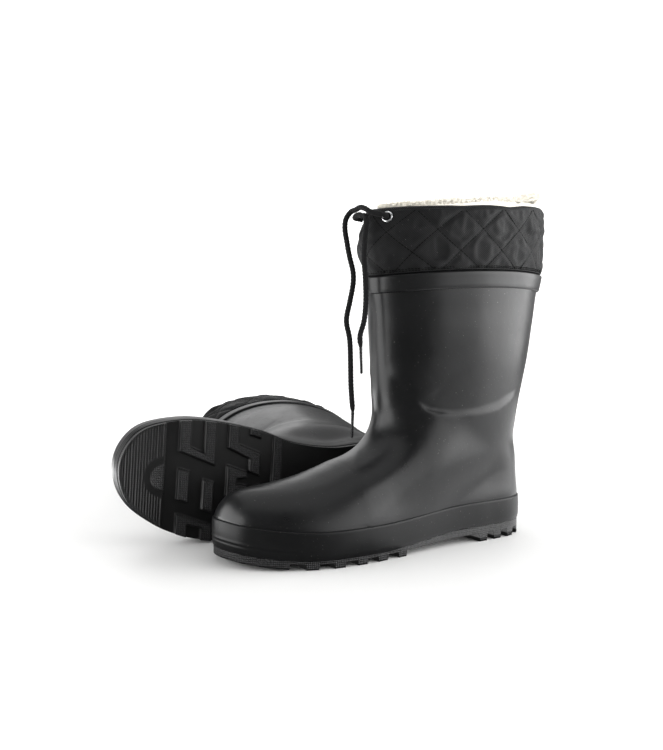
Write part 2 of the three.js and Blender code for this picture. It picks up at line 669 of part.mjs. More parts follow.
// The outer strand passes over the inner one in front of the collar, and each then hangs down.
const OUTER_CROSSING = [[162.8, 12.5, 280], [164.3, 7, 283], [164.8, 0, 284.6],
  [165.2, -5.5, 283.3], [165.3, -7.6, 282.9], [165.3, -8.9, 282.9]];
const INNER_CROSSING = [[160.5, -14.5, 277.4], [163, -9, 278.6], [164, -2, 278.8],
  [164.8, 2.3, 277.6], [164.9, 4, 277.3], [164.9, 5.3, 277.3]];
const LONG_TAIL = [[165.3, -9.2, 282.9], [165.3, -10.6, 282.9], [166.8, -13.6, 280.6],
  [169, -15.6, 275.5], [169.6, -16, 268.5], [167.6, -16, 257], [165.2, -15.5, 244.5],
  [162.7, -14, 232], [162.9, -13.5, 222.5], [166.3, -13.5, 206.5], [169.6, -13.5, 191],
  [166.4, -13.5, 175.5], [165.8, -13, 158], [165.3, -13, 136], [163.8, -12.5, 114]];
const SHORT_TAIL = [[164.9, 5.6, 277.3], [164.9, 7, 277.3], [164.9, 9.2, 275.4],
  [165, 9.4, 271], [165.2, 8.8, 265], [166.5, 8.5, 244.5], [165.1, 8.5, 225.3],
  [164.6, 8.5, 208], [166.3, 8.5, 191], [170.3, 8.5, 178], [169.6, 8.5, 169]];
const AGLET_LENGTH = 22;
const LONG_AGLET_END = [164.8, -12.2, 91.5];
const SHORT_AGLET_END = [168.8, 8.5, 147];

/** The moulded tip of a cord's tail. */
function aglet(tail, end) {
  const last = new THREE.Vector3(...tail[tail.length - 1]);
  const tip = new THREE.Vector3(...end);
  const along = tip.clone().sub(last).normalize();
  const length = Math.min(AGLET_LENGTH, tip.distanceTo(last) - GAP);
  const shape = new THREE.CylinderGeometry(AGLET_RADIUS * AGLET_TAPER, AGLET_RADIUS, length, 10);
  shape.applyQuaternion(new THREE.Quaternion().setFromUnitVectors(
    new THREE.Vector3(0, 1, 0), along));
  const middle = tip.clone().addScaledVector(along, -length / 2);
  return shape.translate(middle.x, middle.y, middle.z);
}

// ---- Materials ----------------------------------------------------------------------------
const FINISHES = {
  upper_rubber: { color: 0x1d1e20, roughness: 0.45, metalness: 0 },
  band_rubber: { color: 0x222326, roughness: 0.48, metalness: 0 },
  foxing_rubber: { color: 0x202123, roughness: 0.5, metalness: 0 },
  sole_rubber: { color: 0x18191b, roughness: 0.7, metalness: 0 },
  quilted_nylon: { color: 0x16171a, roughness: 0.75, metalness: 0 },
  fleece: { color: 0xe9e4d6, roughness: 0.95, metalness: 0 },
  felt: { color: 0xb9b4a6, roughness: 0.95, metalness: 0 },
  fibreboard: { color: 0x8a7a63, roughness: 0.9, metalness: 0 },
  stiffener: { color: 0xb8b8b0, roughness: 0.8, metalness: 0 },
  eyelet_metal: { color: 0xd9dadc, roughness: 0.3, metalness: 1 },
  cord: { color: 0x0d0d0f, roughness: 0.85, metalness: 0 },
  aglet_plastic: { color: 0x0b0b0c, roughness: 0.3, metalness: 0 },
};

// ---- The boots ----------------------------------------------------------------------------
const BOTH_BOOTS = [
  ['outsole', outsole(), 'sole_rubber'],
  ['foxing', foxing(), 'foxing_rubber'],
  ['upper', upper(), 'upper_rubber'],
  ['top_band', topBand(), 'band_rubber'],
  ['back_strip', backStrip(), 'upper_rubber'],
  ['heel_counter', heelCounter(), 'stiffener'],
  ['toe_puff', toePuff(), 'stiffener'],
  ['insole_board', insoleBoard(), 'fibreboard'],
  ['lining', lining(), 'fleece'],
  ['footbed', footbed(), 'felt'],
  ['collar', collar(), 'quilted_nylon'],
  ['outer_eyelet', eyelet(1), 'eyelet_metal'],
  ['inner_eyelet', eyelet(-1), 'eyelet_metal'],
];
const LEFT_ONLY = [
  ['hem_cord', hemCord(), 'cord'],
  ['outer_cord_crossing', crossingCord(1, OUTER_CROSSING), 'cord'],
  ['inner_cord_crossing', crossingCord(-1, INNER_CROSSING), 'cord'],
  ['long_cord_tail', cord(vectors(LONG_TAIL), 22), 'cord'],
  ['short_cord_tail', cord(vectors(SHORT_TAIL), 14), 'cord'],
  ['long_cord_aglet', aglet(LONG_TAIL, LONG_AGLET_END), 'aglet_plastic'],
  ['short_cord_aglet', aglet(SHORT_TAIL, SHORT_AGLET_END), 'aglet_plastic'],
];

function boot(side, pieces) {
  const group = new THREE.Group();
  for (const [name, geometry, finish] of pieces) {
    const mesh = new THREE.Mesh(geometry, new THREE.MeshStandardMaterial(FINISHES[finish]));
    mesh.name = `${side}_${name}`;
    group.add(mesh);
  }
  return group;
}

const leftBoot = boot('left', [...BOTH_BOOTS, ...LEFT_ONLY]);
leftBoot.rotation.z = -Math.PI / 2;
leftBoot.position.y = ORIGIN_X;

// The right boot is the left one's mirror image, turned onto its outer side.
const mirrored = boot('right', BOTH_BOOTS);
mirrored.scale.y = -1;
const rightBoot = new THREE.Group();
rightBoot.add(mirrored);
rightBoot.rotation.set(
  radians(LYING_ROLL_DEG), radians(LYING_PITCH_DEG), radians(LYING_YAW_DEG), 'ZYX');
rightBoot.position.set(...LYING_POSITION);

const boots = new THREE.Group();
boots.add(leftBoot, rightBoot);
export default boots;
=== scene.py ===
"""A pair of lined rubber boots: one stands, one lies on its side. The looks, built round the CAD."""
import math

import bmesh
import bpy
import numpy as np
from mathutils import Matrix, Vector


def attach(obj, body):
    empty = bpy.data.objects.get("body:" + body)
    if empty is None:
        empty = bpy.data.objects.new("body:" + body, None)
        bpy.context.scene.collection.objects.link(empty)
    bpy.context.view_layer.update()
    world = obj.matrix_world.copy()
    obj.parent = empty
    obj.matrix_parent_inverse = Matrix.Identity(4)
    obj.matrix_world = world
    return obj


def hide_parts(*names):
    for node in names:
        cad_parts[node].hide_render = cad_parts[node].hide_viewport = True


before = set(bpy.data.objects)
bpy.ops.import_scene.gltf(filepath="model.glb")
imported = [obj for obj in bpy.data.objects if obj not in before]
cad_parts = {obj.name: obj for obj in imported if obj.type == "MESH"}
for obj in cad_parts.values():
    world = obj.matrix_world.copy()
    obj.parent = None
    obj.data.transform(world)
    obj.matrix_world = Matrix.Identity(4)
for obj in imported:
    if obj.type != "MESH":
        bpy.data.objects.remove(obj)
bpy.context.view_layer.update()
MM = 0.001

# ---- The camera -----------------------------------------------------------------------------
CAMERA_PLACE = (0.6831, -0.5507, 0.1922)
CAMERA_HEADING = (-0.85239, 0.52291)
CAMERA_DROP = 0.0571  # how far it looks down, in radians
CAMERA_LENS = 46.9
camera = bpy.data.objects.new("camera", bpy.data.cameras.new("camera"))
camera.data.lens = CAMERA_LENS
camera.data.clip_start = 0.02
camera.location = CAMERA_PLACE
look = Vector((*CAMERA_HEADING, -math.tan(CAMERA_DROP)))
camera.rotation_euler = look.to_track_quat("-Z", "Y").to_euler()
bpy.context.scene.collection.objects.link(camera)
bpy.context.scene.camera = camera

# ---- Each boot's own frame ------------------------------------------------------------------
# In millimetres: x from the back of the heel to the toe, y to the outer side of the foot, z up.
ORIGIN_X = 61
LYING_TURN = np.array(
    Matrix.Rotation(math.radians(-98.2), 3, "Z")
    @ Matrix.Rotation(math.radians(-3.2), 3, "Y")
    @ Matrix.Rotation(math.radians(88.69), 3, "X")
)
LYING_PLACE = np.array([-47.6, 6.7, 41.6])


def to_row(points, side):
    """Points of a boot, in its own millimetres, as metres in the row frame."""
    points = np.asarray(points, float)
    if side == "left":
        x, y, z = np.moveaxis(points, -1, 0)
        return np.stack([y, ORIGIN_X - x, z], -1) * MM
    return (points * (1, -1, 1) @ LYING_TURN.T + LYING_PLACE) * MM


# ---- Small maths ----------------------------------------------------------------------------
def unit(vectors):
    return vectors / np.linalg.norm(vectors, axis=-1, keepdims=True)


def circle(count):
    """Evenly spaced angles, once round."""
    return 2 * np.pi * np.arange(count) / count


def run_along(path):
    """How far along a path each of its points is."""
    return np.concatenate([[0], np.cumsum(np.linalg.norm(np.diff(path, axis=0), axis=1))])


def halve_to(test, near, far, steps):
    """Where test turns true between near, where it is false, and far, where it is true."""
    for _ in range(steps):
        middle = (near + far) / 2
        passed = test(middle)
        near, far = np.where(passed, near, middle), np.where(passed, middle, far)
    return far


def smooth(low, high, value):
    t = np.clip((value - low) / (high - low), 0, 1)
    return t * t * (3 - 2 * t)


def smooth_min(a, b, rounding):
    t = np.clip(0.5 + 0.5 * (b - a) / rounding, 0, 1)
    return b + (a - b) * t - rounding * t * (1 - t)


def smooth_max(a, b, rounding):
    return -smooth_min(-a, -b, rounding)


def curve_through(knots):
    """A monotone cubic through (position, value) knots, held level past both ends."""
    xs, values = np.array(knots, float).T
    slopes = np.diff(values) / np.diff(xs)
    tangents = np.zeros(len(xs))
    before, after = slopes[:-1], slopes[1:]
    same = before * after > 0
    tangents[1:-1][same] = (2 * before * after)[same] / (before + after)[same]

    def curve(position):
        x = np.clip(position, xs[0], xs[-1])
        i = np.clip(np.searchsorted(xs, x, side="right") - 1, 0, len(xs) - 2)
        width = xs[i + 1] - xs[i]
        t = (x - xs[i]) / width
        level = values[i] + (values[i + 1] - values[i]) * t * t * (3 - 2 * t)
        return level + width * t * (1 - t) * ((1 - t) * tangents[i] - t * tangents[i + 1])

    return curve


def catmull_rom(knots, per_span, closed):
    """Points along a centripetal Catmull-Rom curve through the knots."""
    knots = np.asarray(knots, float)
    count = len(knots)
    spans = count if closed else count - 1
    if closed:
        padded = [knots[(i - 1) % count] for i in range(count + 3)]
    else:
        padded = [2 * knots[0] - knots[1], *knots, 2 * knots[-1] - knots[-2]]
    found = []
    for i in range(spans):
        p0, p1, p2, p3 = padded[i:i + 4]
        d0, d1, d2 = (max(np.linalg.norm(b - a) ** 0.5, 1e-3) for a, b in ((p0, p1), (p1, p2), (p2, p3)))
        m1 = ((p1 - p0) / d0 - (p2 - p0) / (d0 + d1) + (p2 - p1) / d1) * d1
        m2 = ((p2 - p1) / d1 - (p3 - p1) / (d1 + d2) + (p3 - p2) / d2) * d1
        t = (np.arange(per_span) / per_span)[:, None]
        found.append(p1 + m1 * t + (-3 * p1 + 3 * p2 - 2 * m1 - m2) * t ** 2
                     + (2 * p1 - 2 * p2 + m1 + m2) * t ** 3)
    if not closed:
        found.append(knots[-1:])
    return np.concatenate(found)


# ---- Meshes ---------------------------------------------------------------------------------
def grid_faces(rows, cols, wrap_rows=False, wrap_cols=True):
    """The four corners, as (row, column), of each face between rows and columns of points."""
    i, j = np.meshgrid(np.arange(rows if wrap_rows else rows - 1),
                       np.arange(cols if wrap_cols else cols - 1), indexing="ij")
    i, j = i.ravel(), j.ravel()
    return np.stack([np.stack([i, j], -1), np.stack([i, j + 1], -1),
                     np.stack([i + 1, j + 1], -1), np.stack([i + 1, j], -1)], 1)


def mesh_object(name, points, faces, side=None, uv=None):
    """An object from points and faces (lists or arrays of corner indices), in the row frame."""
    placed = np.asarray(points, float).reshape(-1, 3)
    placed = placed * MM if side is None else to_row(placed, side)
    groups = [np.asarray(f, np.int32) for f in (faces if isinstance(faces, list) else [faces])]
    if side == "right":
        groups = [g[:, ::-1] for g in groups]
        uv = None if uv is None else np.asarray(uv)[:, ::-1]
    corners = np.concatenate([g.ravel() for g in groups])
    sizes = np.concatenate([np.full(len(g), g.shape[1]) for g in groups])
    mesh = bpy.data.meshes.new(name)
    mesh.vertices.add(len(placed))
    mesh.vertices.foreach_set("co", placed.astype(np.float32).ravel())
    mesh.loops.add(len(corners))
    mesh.loops.foreach_set("vertex_index", corners)
    mesh.polygons.add(len(sizes))
    mesh.polygons.foreach_set("loop_start", np.concatenate([[0], np.cumsum(sizes)[:-1]]))
    mesh.update(calc_edges=True)
    mesh.validate()
    mesh.shade_smooth()
    if uv is not None:
        layer = mesh.uv_layers.new(name="surface")
        layer.data.foreach_set("uv", (np.asarray(uv, float).reshape(-1, 2) * MM).astype(np.float32).ravel())
    made = bpy.data.objects.new(name, mesh)
    bpy.context.scene.collection.objects.link(made)
    return made


def loft(name, rows, side, looped=False, caps=False, uv=None, flip=False):
    """A skin over rows of points. Rows close round; looped also joins the last row to the first."""
    rows = np.asarray(rows, float)
    count, cols = rows.shape[:2]
    cells = grid_faces(count, cols, wrap_rows=looped)
    faces = (cells[..., 0] % count) * cols + cells[..., 1] % cols
    corner_uv = None if uv is None else uv[cells[..., 0], cells[..., 1]]
    points = rows.reshape(-1, 3)
    groups = [faces]
    if caps:
        points = np.concatenate([points, [rows[0].mean(0)], [rows[-1].mean(0)]])
        j = np.arange(cols)
        first = np.stack([j * 0 + count * cols, (j + 1) % cols, j], -1)
        last_row = (count - 1) * cols
        last = np.stack([j * 0 + count * cols + 1, last_row + j, last_row + (j + 1) % cols], -1)
        groups.append(np.concatenate([first, last]))
        corner_uv = None
    if flip:
        groups = [g[:, ::-1] for g in groups]
        corner_uv = None if corner_uv is None else corner_uv[:, ::-1]
    return mesh_object(name, points, groups, side, corner_uv)


def dress(piece, body, look, replaces=None):
    """Gives a piece its material, puts it under the body it rides on, and hides the CAD node it stands for,
    if one is given.
    """
    piece.data.materials.clear()
    piece.data.materials.append(LOOKS[look])
    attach(piece, body)
    if replaces:
        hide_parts(replaces)


# ---- The boot's outer skin, as the CAD has it -----------------------------------------------
SOLE_LENGTH = 292.6
OUTLINE = [
    (0, 0), (6, 20), (24, 33), (56, 38), (99, 40.5), (148, 47.5), (190, 52.5), (215, 52.5),
    (237, 48), (260, 38), (284, 19), (SOLE_LENGTH, -6.5), (288, -27.5), (273.5, -44),
    (241, -52.5), (210, -51.5), (170, -44), (139, -34), (98, -29.5), (59, -33.5),
    (24, -31.5), (7, -21),
]
shaft_back = curve_through([(60, 3), (85, 3.5), (107, 1), (133, -5), (162, -12), (190, -17.5),
                            (214, -21.5), (231, -26), (257, -27), (290, -28)])
shaft_front = curve_through([(60, 146), (107, 146), (133, 148), (162, 149.5), (190, 151),
                             (214, 153.5), (231, 154.5), (257, 159.5), (290, 152.5)])
shaft_half_width = curve_through([(60, 39), (85, 41), (107, 43), (133, 44.5), (162, 46),
                                  (190, 47.5), (214, 48.5), (231, 49), (257, 51.5), (290, 50)])
vamp_height = curve_through([(110, 88), (150, 84), (183, 77), (200, 71), (225, 64), (249, 60),
                             (264, 58.5), (280, 58), (300, 56)])
foot_middle = curve_through([(0, 0), (60, 1.5), (150, 6), (215, 0), (292, -6)])
UPPER_INSET = 2.8
TOP_SLOPE = 0.95  # turns height over the vamp into distance from it
TOP_ROUNDING = 26  # between the vamp and the sides of the foot
CROWN_DROP = 20  # how far the vamp drops 50 mm from its middle
SHAFT_START = 60
SHAFT_ROUNDING = 20
HEEL_ROUNDING, INSTEP_ROUNDING = 6, 36  # between the shaft and the foot
SEAM_HEIGHT = 228
COLLAR_HEIGHT = 56


def toe_spring(x):
    return 7 * (np.clip(x - 225, 0, None) / (SOLE_LENGTH - 225)) ** 2


def heel_share(x):
    return 1 - smooth(70, 180, x)


def sole_top(x):
    return 7 + 7 * heel_share(x) + toe_spring(x)


def sole_underside(x):
    return 4 + 3 * heel_share(x) + toe_spring(x)


def foxing_top(x):
    return 29 + 5.5 * heel_share(x) + toe_spring(x)


def back_share(angle):
    return (1 - np.cos(angle)) / 2


def seam_height(angle):
    return SEAM_HEIGHT + 3 * back_share(angle) + 4 * np.sin(angle) ** 2


def collar_top(angle):
    return SEAM_HEIGHT + COLLAR_HEIGHT + 8 * back_share(angle)


def lining_top(angle):
    return collar_top(angle) + 2 + 6 * back_share(angle)


def turns(count):
    """Angles round the shaft from its front, closer together at the front and back."""
    turn = circle(count)
    return turn - math.radians(4) * np.sin(2 * turn)


def shaft_point(angle, height, out):
    """Points round the shaft: an angle from the front, a height and a distance out of the skin."""
    angle, height, out = np.broadcast_arrays(*(np.asarray(v, float) for v in (angle, height, out)))
    back, front, width = shaft_back(height), shaft_front(height), shaft_half_width(height)
    depth = (front - back) / 2
    normal = unit(np.stack([np.cos(angle) / depth, np.sin(angle) / width], -1))
    x = (back + front) / 2 + depth * np.cos(angle) + normal[..., 0] * out
    y = width * np.sin(angle) + normal[..., 1] * out
    return np.stack([x, y, height], -1)


def from_segment(x, y, start, end):
    """The share of a segment that its nearest point is at, and the offset from that point."""
    (ax, ay), (dx, dy) = start, end - start
    share = np.clip(((x - ax) * dx + (y - ay) * dy) / (dx * dx + dy * dy), 0, 1)
    return share, x - ax - share * dx, y - ay - share * dy


def polygon_distance(x, y, corners):
    """The distance outside a closed polygon, negative inside it."""
    nearest = np.full(x.shape, 1e9)
    inside = np.zeros(x.shape, bool)
    for start, end in zip(corners, np.roll(corners, -1, 0)):
        _, off_x, off_y = from_segment(x, y, start, end)
        nearest = np.minimum(nearest, off_x ** 2 + off_y ** 2)
        (ax, ay), (dx, dy) = start, end - start
        if dy:
            inside ^= ((ay > y) != (end[1] > y)) & (x < ax + dx * (y - ay) / dy)
    return np.where(inside, -1, 1) * np.sqrt(nearest)


SOLE_CURVE = catmull_rom(OUTLINE, 8, closed=True)
MAP_X, MAP_Y = np.arange(-40, 341.0), np.arange(-100, 101.0)
OUTLINE_MAP = polygon_distance(*np.meshgrid(MAP_X, MAP_Y, indexing="ij"), SOLE_CURVE)


def outline_distance(x, y):
    """The distance outside the sole's outline, read between the points of the map."""
    x = np.clip(x - MAP_X[0], 0, len(MAP_X) - 1.001)
    y = np.clip(y - MAP_Y[0], 0, len(MAP_Y) - 1.001)
    i, j = x.astype(int), y.astype(int)
    s, t = x - i, y - j
    low = OUTLINE_MAP[i, j] * (1 - t) + OUTLINE_MAP[i, j + 1] * t
    high = OUTLINE_MAP[i + 1, j] * (1 - t) + OUTLINE_MAP[i + 1, j + 1] * t
    return low * (1 - s) + high * s


def boot_distance(p):
    """The distance outside the boot's plain skin, negative inside it."""
    x, y, z = np.moveaxis(p, -1, 0)
    back, front, width = shaft_back(z), shaft_front(z), shaft_half_width(z)
    depth = (front - back) / 2
    across = x - (front + back) / 2
    near = np.hypot(across / depth, y / width) + 1e-9
    slope = np.hypot(across / depth ** 2, y / width ** 2) + 1e-9
    shaft = smooth_max(near * (near - 1) / slope, SHAFT_START - z, SHAFT_ROUNDING)
    crown = CROWN_DROP * ((y - foot_middle(x)) / 50) ** 2 * smooth(90, 180, x)
    above = TOP_SLOPE * (z - vamp_height(x) + crown)
    foot = smooth_max(outline_distance(x, y) + UPPER_INSET, above, TOP_ROUNDING)
    rounding = HEEL_ROUNDING + (INSTEP_ROUNDING - HEEL_ROUNDING) * smooth(40, 125, x)
    return smooth_min(shaft, foot, rounding)


# ---- Rays that reach every part of the skin once --------------------------------------------
TOE_CENTRE = np.array([235.0, -3, 34])
TOE_SPREAD = (55, 48, 26)  # forwards, sideways and up
TOE_DROP = 25  # degrees that the foremost rays point down
STATION_SPREAD = (50, 30)  # sideways and up
STATION_HEIGHT = 36
BEND_CENTRE = np.array([188.0, 0, 128])  # what the rays from the instep to the ankle turn about


def toe_rays(degrees, turn):
    polar = np.radians(degrees)[:, None]
    drop = np.radians(TOE_DROP * (1 - degrees / 90))[:, None]
    forward = TOE_SPREAD[0] * np.cos(polar) + 0 * turn
    aside = TOE_SPREAD[1] * np.sin(polar) * np.sin(turn)
    up = TOE_SPREAD[2] * np.sin(polar) * np.cos(turn)
    direction = np.stack([forward * np.cos(drop) + up * np.sin(drop), aside,
                          up * np.cos(drop) - forward * np.sin(drop)], -1)
    return TOE_CENTRE + 0 * direction, direction


def station_rays(xs, turn):
    x = xs[:, None] + 0 * turn
    aside, up = STATION_SPREAD[0] * np.sin(turn), STATION_SPREAD[1] * np.cos(turn)
    direction = np.stack([0 * x, aside + 0 * x, up + 0 * x], -1)
    return np.stack([x, foot_middle(x), STATION_HEIGHT + 0 * x], -1), direction


def bend_rays(degrees, turn):
    bend = np.radians(degrees)[:, None] + 0 * turn
    reach = 93 + 0.26 * np.degrees(bend) + 12 * np.sin(2 * bend)
    start = BEND_CENTRE + np.stack([-reach * np.sin(bend), 2 * np.cos(bend), -reach * np.cos(bend)], -1)
    inward = (36 + 42 * np.sin(bend)) * np.cos(turn)
    return start, np.stack([inward * np.sin(bend), 45 * np.sin(turn) + 0 * bend, inward * np.cos(bend)], -1)


def shaft_rays(heights, turn):
    heights = heights + 0 * turn
    skin = shaft_point(turn + 0 * heights, heights, 0)
    start = np.stack([(shaft_back(heights) + shaft_front(heights)) / 2, 0 * heights, heights], -1)
    return start, skin - start


def sock_rays(cols, toe, stations, bends, shaft, top):
    """Rays for a sock, in rows from the toe to a top given by angle; the rest are row counts."""
    turn = turns(cols)
    up = np.linspace(0, 1, shaft)[:, None]
    instep_x, ankle_z = BEND_CENTRE[0], BEND_CENTRE[2]
    sets = [toe_rays(np.linspace(3, 90, toe, endpoint=False), turn),
            station_rays(np.linspace(TOE_CENTRE[0], instep_x, stations, endpoint=False), turn),
            bend_rays(np.linspace(0, 90, bends, endpoint=False), turn),
            shaft_rays(ankle_z + (top(turn) - ankle_z) * up, turn)]
    starts, directions = (np.concatenate(part) for part in zip(*sets))
    return starts, unit(directions)


def reach_skin(rays, depth, bottom, relief=None):
    """Where rays leave the boot at a depth under its skin and a height over the sole."""
    starts, directions = rays

    def outside(t):
        p = starts + directions * t[..., None]
        wall = boot_distance(p) + (depth(p) if callable(depth) else depth)
        if relief is not None:
            wall = wall - relief(p)
        return smooth_max(wall, sole_top(p[..., 0]) + bottom - p[..., 2], 3) > 0

    stride = 4.0
    far = np.full(starts.shape[:-1], stride)
    for _ in range(45):
        out = outside(far)
        if out.all():
            break
        far = np.where(out, far, far + stride)
    return starts + directions * halve_to(outside, far - stride, far, 12)[..., None]


# ---- The creases in the rubber --------------------------------------------------------------
ANKLE_CREASE = np.array([(150, 151), (144.3, 145), (135.8, 138.6), (129.5, 130.5), (125.5, 122.8),
                         (120.7, 117.6), (112, 114.7), (98.3, 113.2), (73.5, 114.2), (50.2, 117.6),
                         (30.9, 124.8), (14, 133)])
# How far the rubber stands out below the crease; a negative step is pushed in, by the instep.
CREASE_STEP = np.array([0, -0.8, -1.1, -0.3, 0.6, 1.1, 1.2, 1.1, 1.0, 0.9, 0.6, 0])
CLEARANCE = 0.5  # how far the shaft under the band stays in, clear of the other boot's tread
SKIRT = 1.6  # how far the upper swells to meet the top of the wall round the sole


def crease_relief(x, z, line, steps, sharpness, reach):
    """A fold along a line in x and z: the rubber steps out below it, and both sides ease away."""
    best = np.full(x.shape, 1e9)
    across = np.zeros(x.shape)
    step = np.zeros(x.shape)
    for start, end, low, high in zip(line[:-1], line[1:], steps[:-1], steps[1:]):
        share, off_x, off_z = from_segment(x, z, start, end)
        dx, dz = end - start
        distance = np.hypot(off_x, off_z)
        closer = distance < best
        best = np.where(closer, distance, best)
        across = np.where(closer, distance * np.sign(dz * off_x - dx * off_z), across)
        step = np.where(closer, low + (high - low) * share, step)
    return -step * np.tanh(across / sharpness) * np.exp(-(best / reach) ** 1.3)


def soft_waves(p, seed):
    """Broad shallow waves that keep the moulded rubber from looking machined."""
    x, y, z = np.moveaxis(p, -1, 0)
    total = 0
    for k in range(5):
        length = 55 + 17 * k
        a = seed * 1.7 + 2.4 * k
        total = total + np.sin((x * math.cos(a) + z * math.sin(a)) / length * 6.28 + y / 60 + 1.3 * a)
    return 0.12 * total


def upper_relief(side):
    """How far the rubber stands out of the plain skin. The lying boot's crease has slipped a little."""
    lying = side == "right"
    shift = (4, -5) if lying else (0, 0)
    gain = 0.8 if lying else 1

    def relief(p):
        x, y, z = np.moveaxis(p, -1, 0)
        fade = 1 - smooth(184, 204, z)
        outer = crease_relief(x, z, ANKLE_CREASE, CREASE_STEP, 2.0, 14) * smooth(8, 24, y)
        inner = crease_relief(x - shift[0], z - shift[1], ANKLE_CREASE, CREASE_STEP * gain, 3.2, 18)
        creases = outer + inner * smooth(8, 24, -y)
        toe_break = -0.35 * np.exp(-((x - 205 - 0.25 * z) / 9) ** 2) * smooth(60, 70, z)
        over = z - foxing_top(x)
        skirt = SKIRT * np.exp(-(over / 13) ** 2) * smooth(-4, -0.5, over)
        moulded = creases + toe_break + soft_waves(p, 2 if lying else 1)
        return moulded * fade + skirt - CLEARANCE * (1 - fade)

    return relief


# ---- Materials ------------------------------------------------------------------------------
LOOKS = {}


class Finish:
    """A Principled material, and short ways to add the nodes that vary it."""

    def __init__(self, name, color, **constants):
        self.material = bpy.data.materials.new(name)
        LOOKS[name] = self.material
        self.material.use_nodes = True
        self.tree = self.material.node_tree
        self.surface = self.tree.nodes["Principled BSDF"]
        self.color = (*color, 1)
        for key, value in constants.items():
            self.surface.inputs[key.replace("_", " ")].default_value = value
        self.place = self.node("TexCoord").outputs["Object"]
        self.surface_uv = self.node("TexCoord").outputs["UV"]
        self.bump = None

    def node(self, kind, inputs=None, **settings):
        made = self.tree.nodes.new("ShaderNode" + kind)
        for key, value in settings.items():
            setattr(made, key, value)
        for key, value in (inputs or {}).items():
            if isinstance(value, bpy.types.NodeSocket):
                self.tree.links.new(value, made.inputs[key])
            else:
                made.inputs[key].default_value = value
        return made

    def noise(self, size, detail, distortion=0.0):
        """Noise whose blotches are about size metres across."""
        return self.node("TexNoise", {"Vector": self.place, "Scale": 1 / size, "Detail": detail,
                                      "Distortion": distortion}).outputs["Fac"]

    def ramp(self, value, low, high, to_low=0.0, to_high=1.0):
        return self.node("MapRange", {"Value": value, "From Min": low, "From Max": high,
                                      "To Min": to_low, "To Max": to_high}).outputs["Result"]

    def times(self, a, b):
        return self.node("Math", {0: a, 1: b}, operation="MULTIPLY").outputs[0]

    def plus(self, a, b):
        return self.node("Math", {0: a, 1: b}, operation="ADD").outputs[0]

    def blend_color(self, share, a, b):
        made = self.node("Mix", {"Factor": share}, data_type="RGBA")
        for socket, value in ((made.inputs["A"], a), (made.inputs["B"], b)):
            if isinstance(value, bpy.types.NodeSocket):
                self.tree.links.new(value, socket)
            else:
                socket.default_value = value
        return made.outputs["Result"]

    def lighter(self, gain):
        return (*[min(1, c * gain) for c in self.color[:3]], 1)

    def set_color(self, socket):
        self.tree.links.new(socket, self.surface.inputs["Base Color"])

    def set_roughness(self, socket):
        self.tree.links.new(socket, self.surface.inputs["Roughness"])

    def add_bump(self, height, distance, strength=1.0):
        """Height from 0 to 1 stands distance metres out."""
        inputs = {"Height": height, "Distance": distance, "Strength": strength}
        if self.bump is not None:
            inputs["Normal"] = self.bump
        self.bump = self.node("Bump", inputs).outputs["Normal"]
        self.tree.links.new(self.bump, self.surface.inputs["Normal"])


def rubber(name, color, roughness, grain, shine=0.42, dust=0.5):
    """Moulded rubber: a fine skin grain, cloudy bloom, scuffs and a few specks of dust."""
    made = Finish(name, color, Specular_IOR_Level=shine)
    bloom = made.ramp(made.noise(0.045, 4, distortion=0.6), 0.3, 0.7)
    scuff = made.ramp(made.noise(0.006, 6), 0.55, 0.75)
    speck = made.ramp(made.noise(0.0014, 1), 0.745, 0.77)
    shade = made.blend_color(bloom, made.lighter(0.85), made.lighter(1.2))
    shade = made.blend_color(made.times(scuff, 0.25), shade, made.lighter(1.4))
    made.set_color(made.blend_color(made.times(speck, dust), shade, (0.12, 0.118, 0.11, 1)))
    cloudy = made.ramp(bloom, 0, 1, roughness - 0.05, roughness + 0.05)
    made.set_roughness(made.plus(cloudy, made.times(scuff, 0.07)))
    made.add_bump(made.noise(0.009, 2), 0.00022, 0.4)
    made.add_bump(made.noise(0.0006, 3), grain, 0.6)


def stippled_rubber(name, color, roughness):
    """The sole's rubber: smooth, with a regular stipple where the stipple_and_crest_highlight attribute is
    1; the stipple's lightening on the toe ribs' crests is a painted highlight.
    """
    made = Finish(name, color, Specular_IOR_Level=0.45)
    where = made.node("Attribute", attribute_name="stipple_and_crest_highlight").outputs["Fac"]
    dots = made.node("TexVoronoi", {"Vector": made.surface_uv, "Scale": 640, "Randomness": 0.12},
                     voronoi_dimensions="2D").outputs["Distance"]
    dots = made.ramp(dots, 0.15, 0.5, 1, 0)
    bloom = made.ramp(made.noise(0.03, 4), 0.3, 0.7)
    # Lighter dust in the stipple; on the toe ribs' crests this lightening and the lighter dots below are a
    # painted highlight.
    dust_and_crest_highlight = made.times(made.ramp(made.noise(0.004, 5), 0.4, 0.7), where)
    shade = made.blend_color(bloom, made.lighter(0.8), made.lighter(1.2))
    shade = made.blend_color(made.times(dust_and_crest_highlight, 0.7), shade, made.lighter(3.6))
    made.set_color(made.blend_color(made.times(made.times(dots, where), 0.75), shade, made.lighter(9)))
    made.set_roughness(made.ramp(bloom, 0, 1, roughness - 0.05, roughness + 0.06))
    made.add_bump(made.noise(0.0007, 3), 0.00006, 0.6)
    made.add_bump(made.times(dots, where), 0.0005, 0.8)


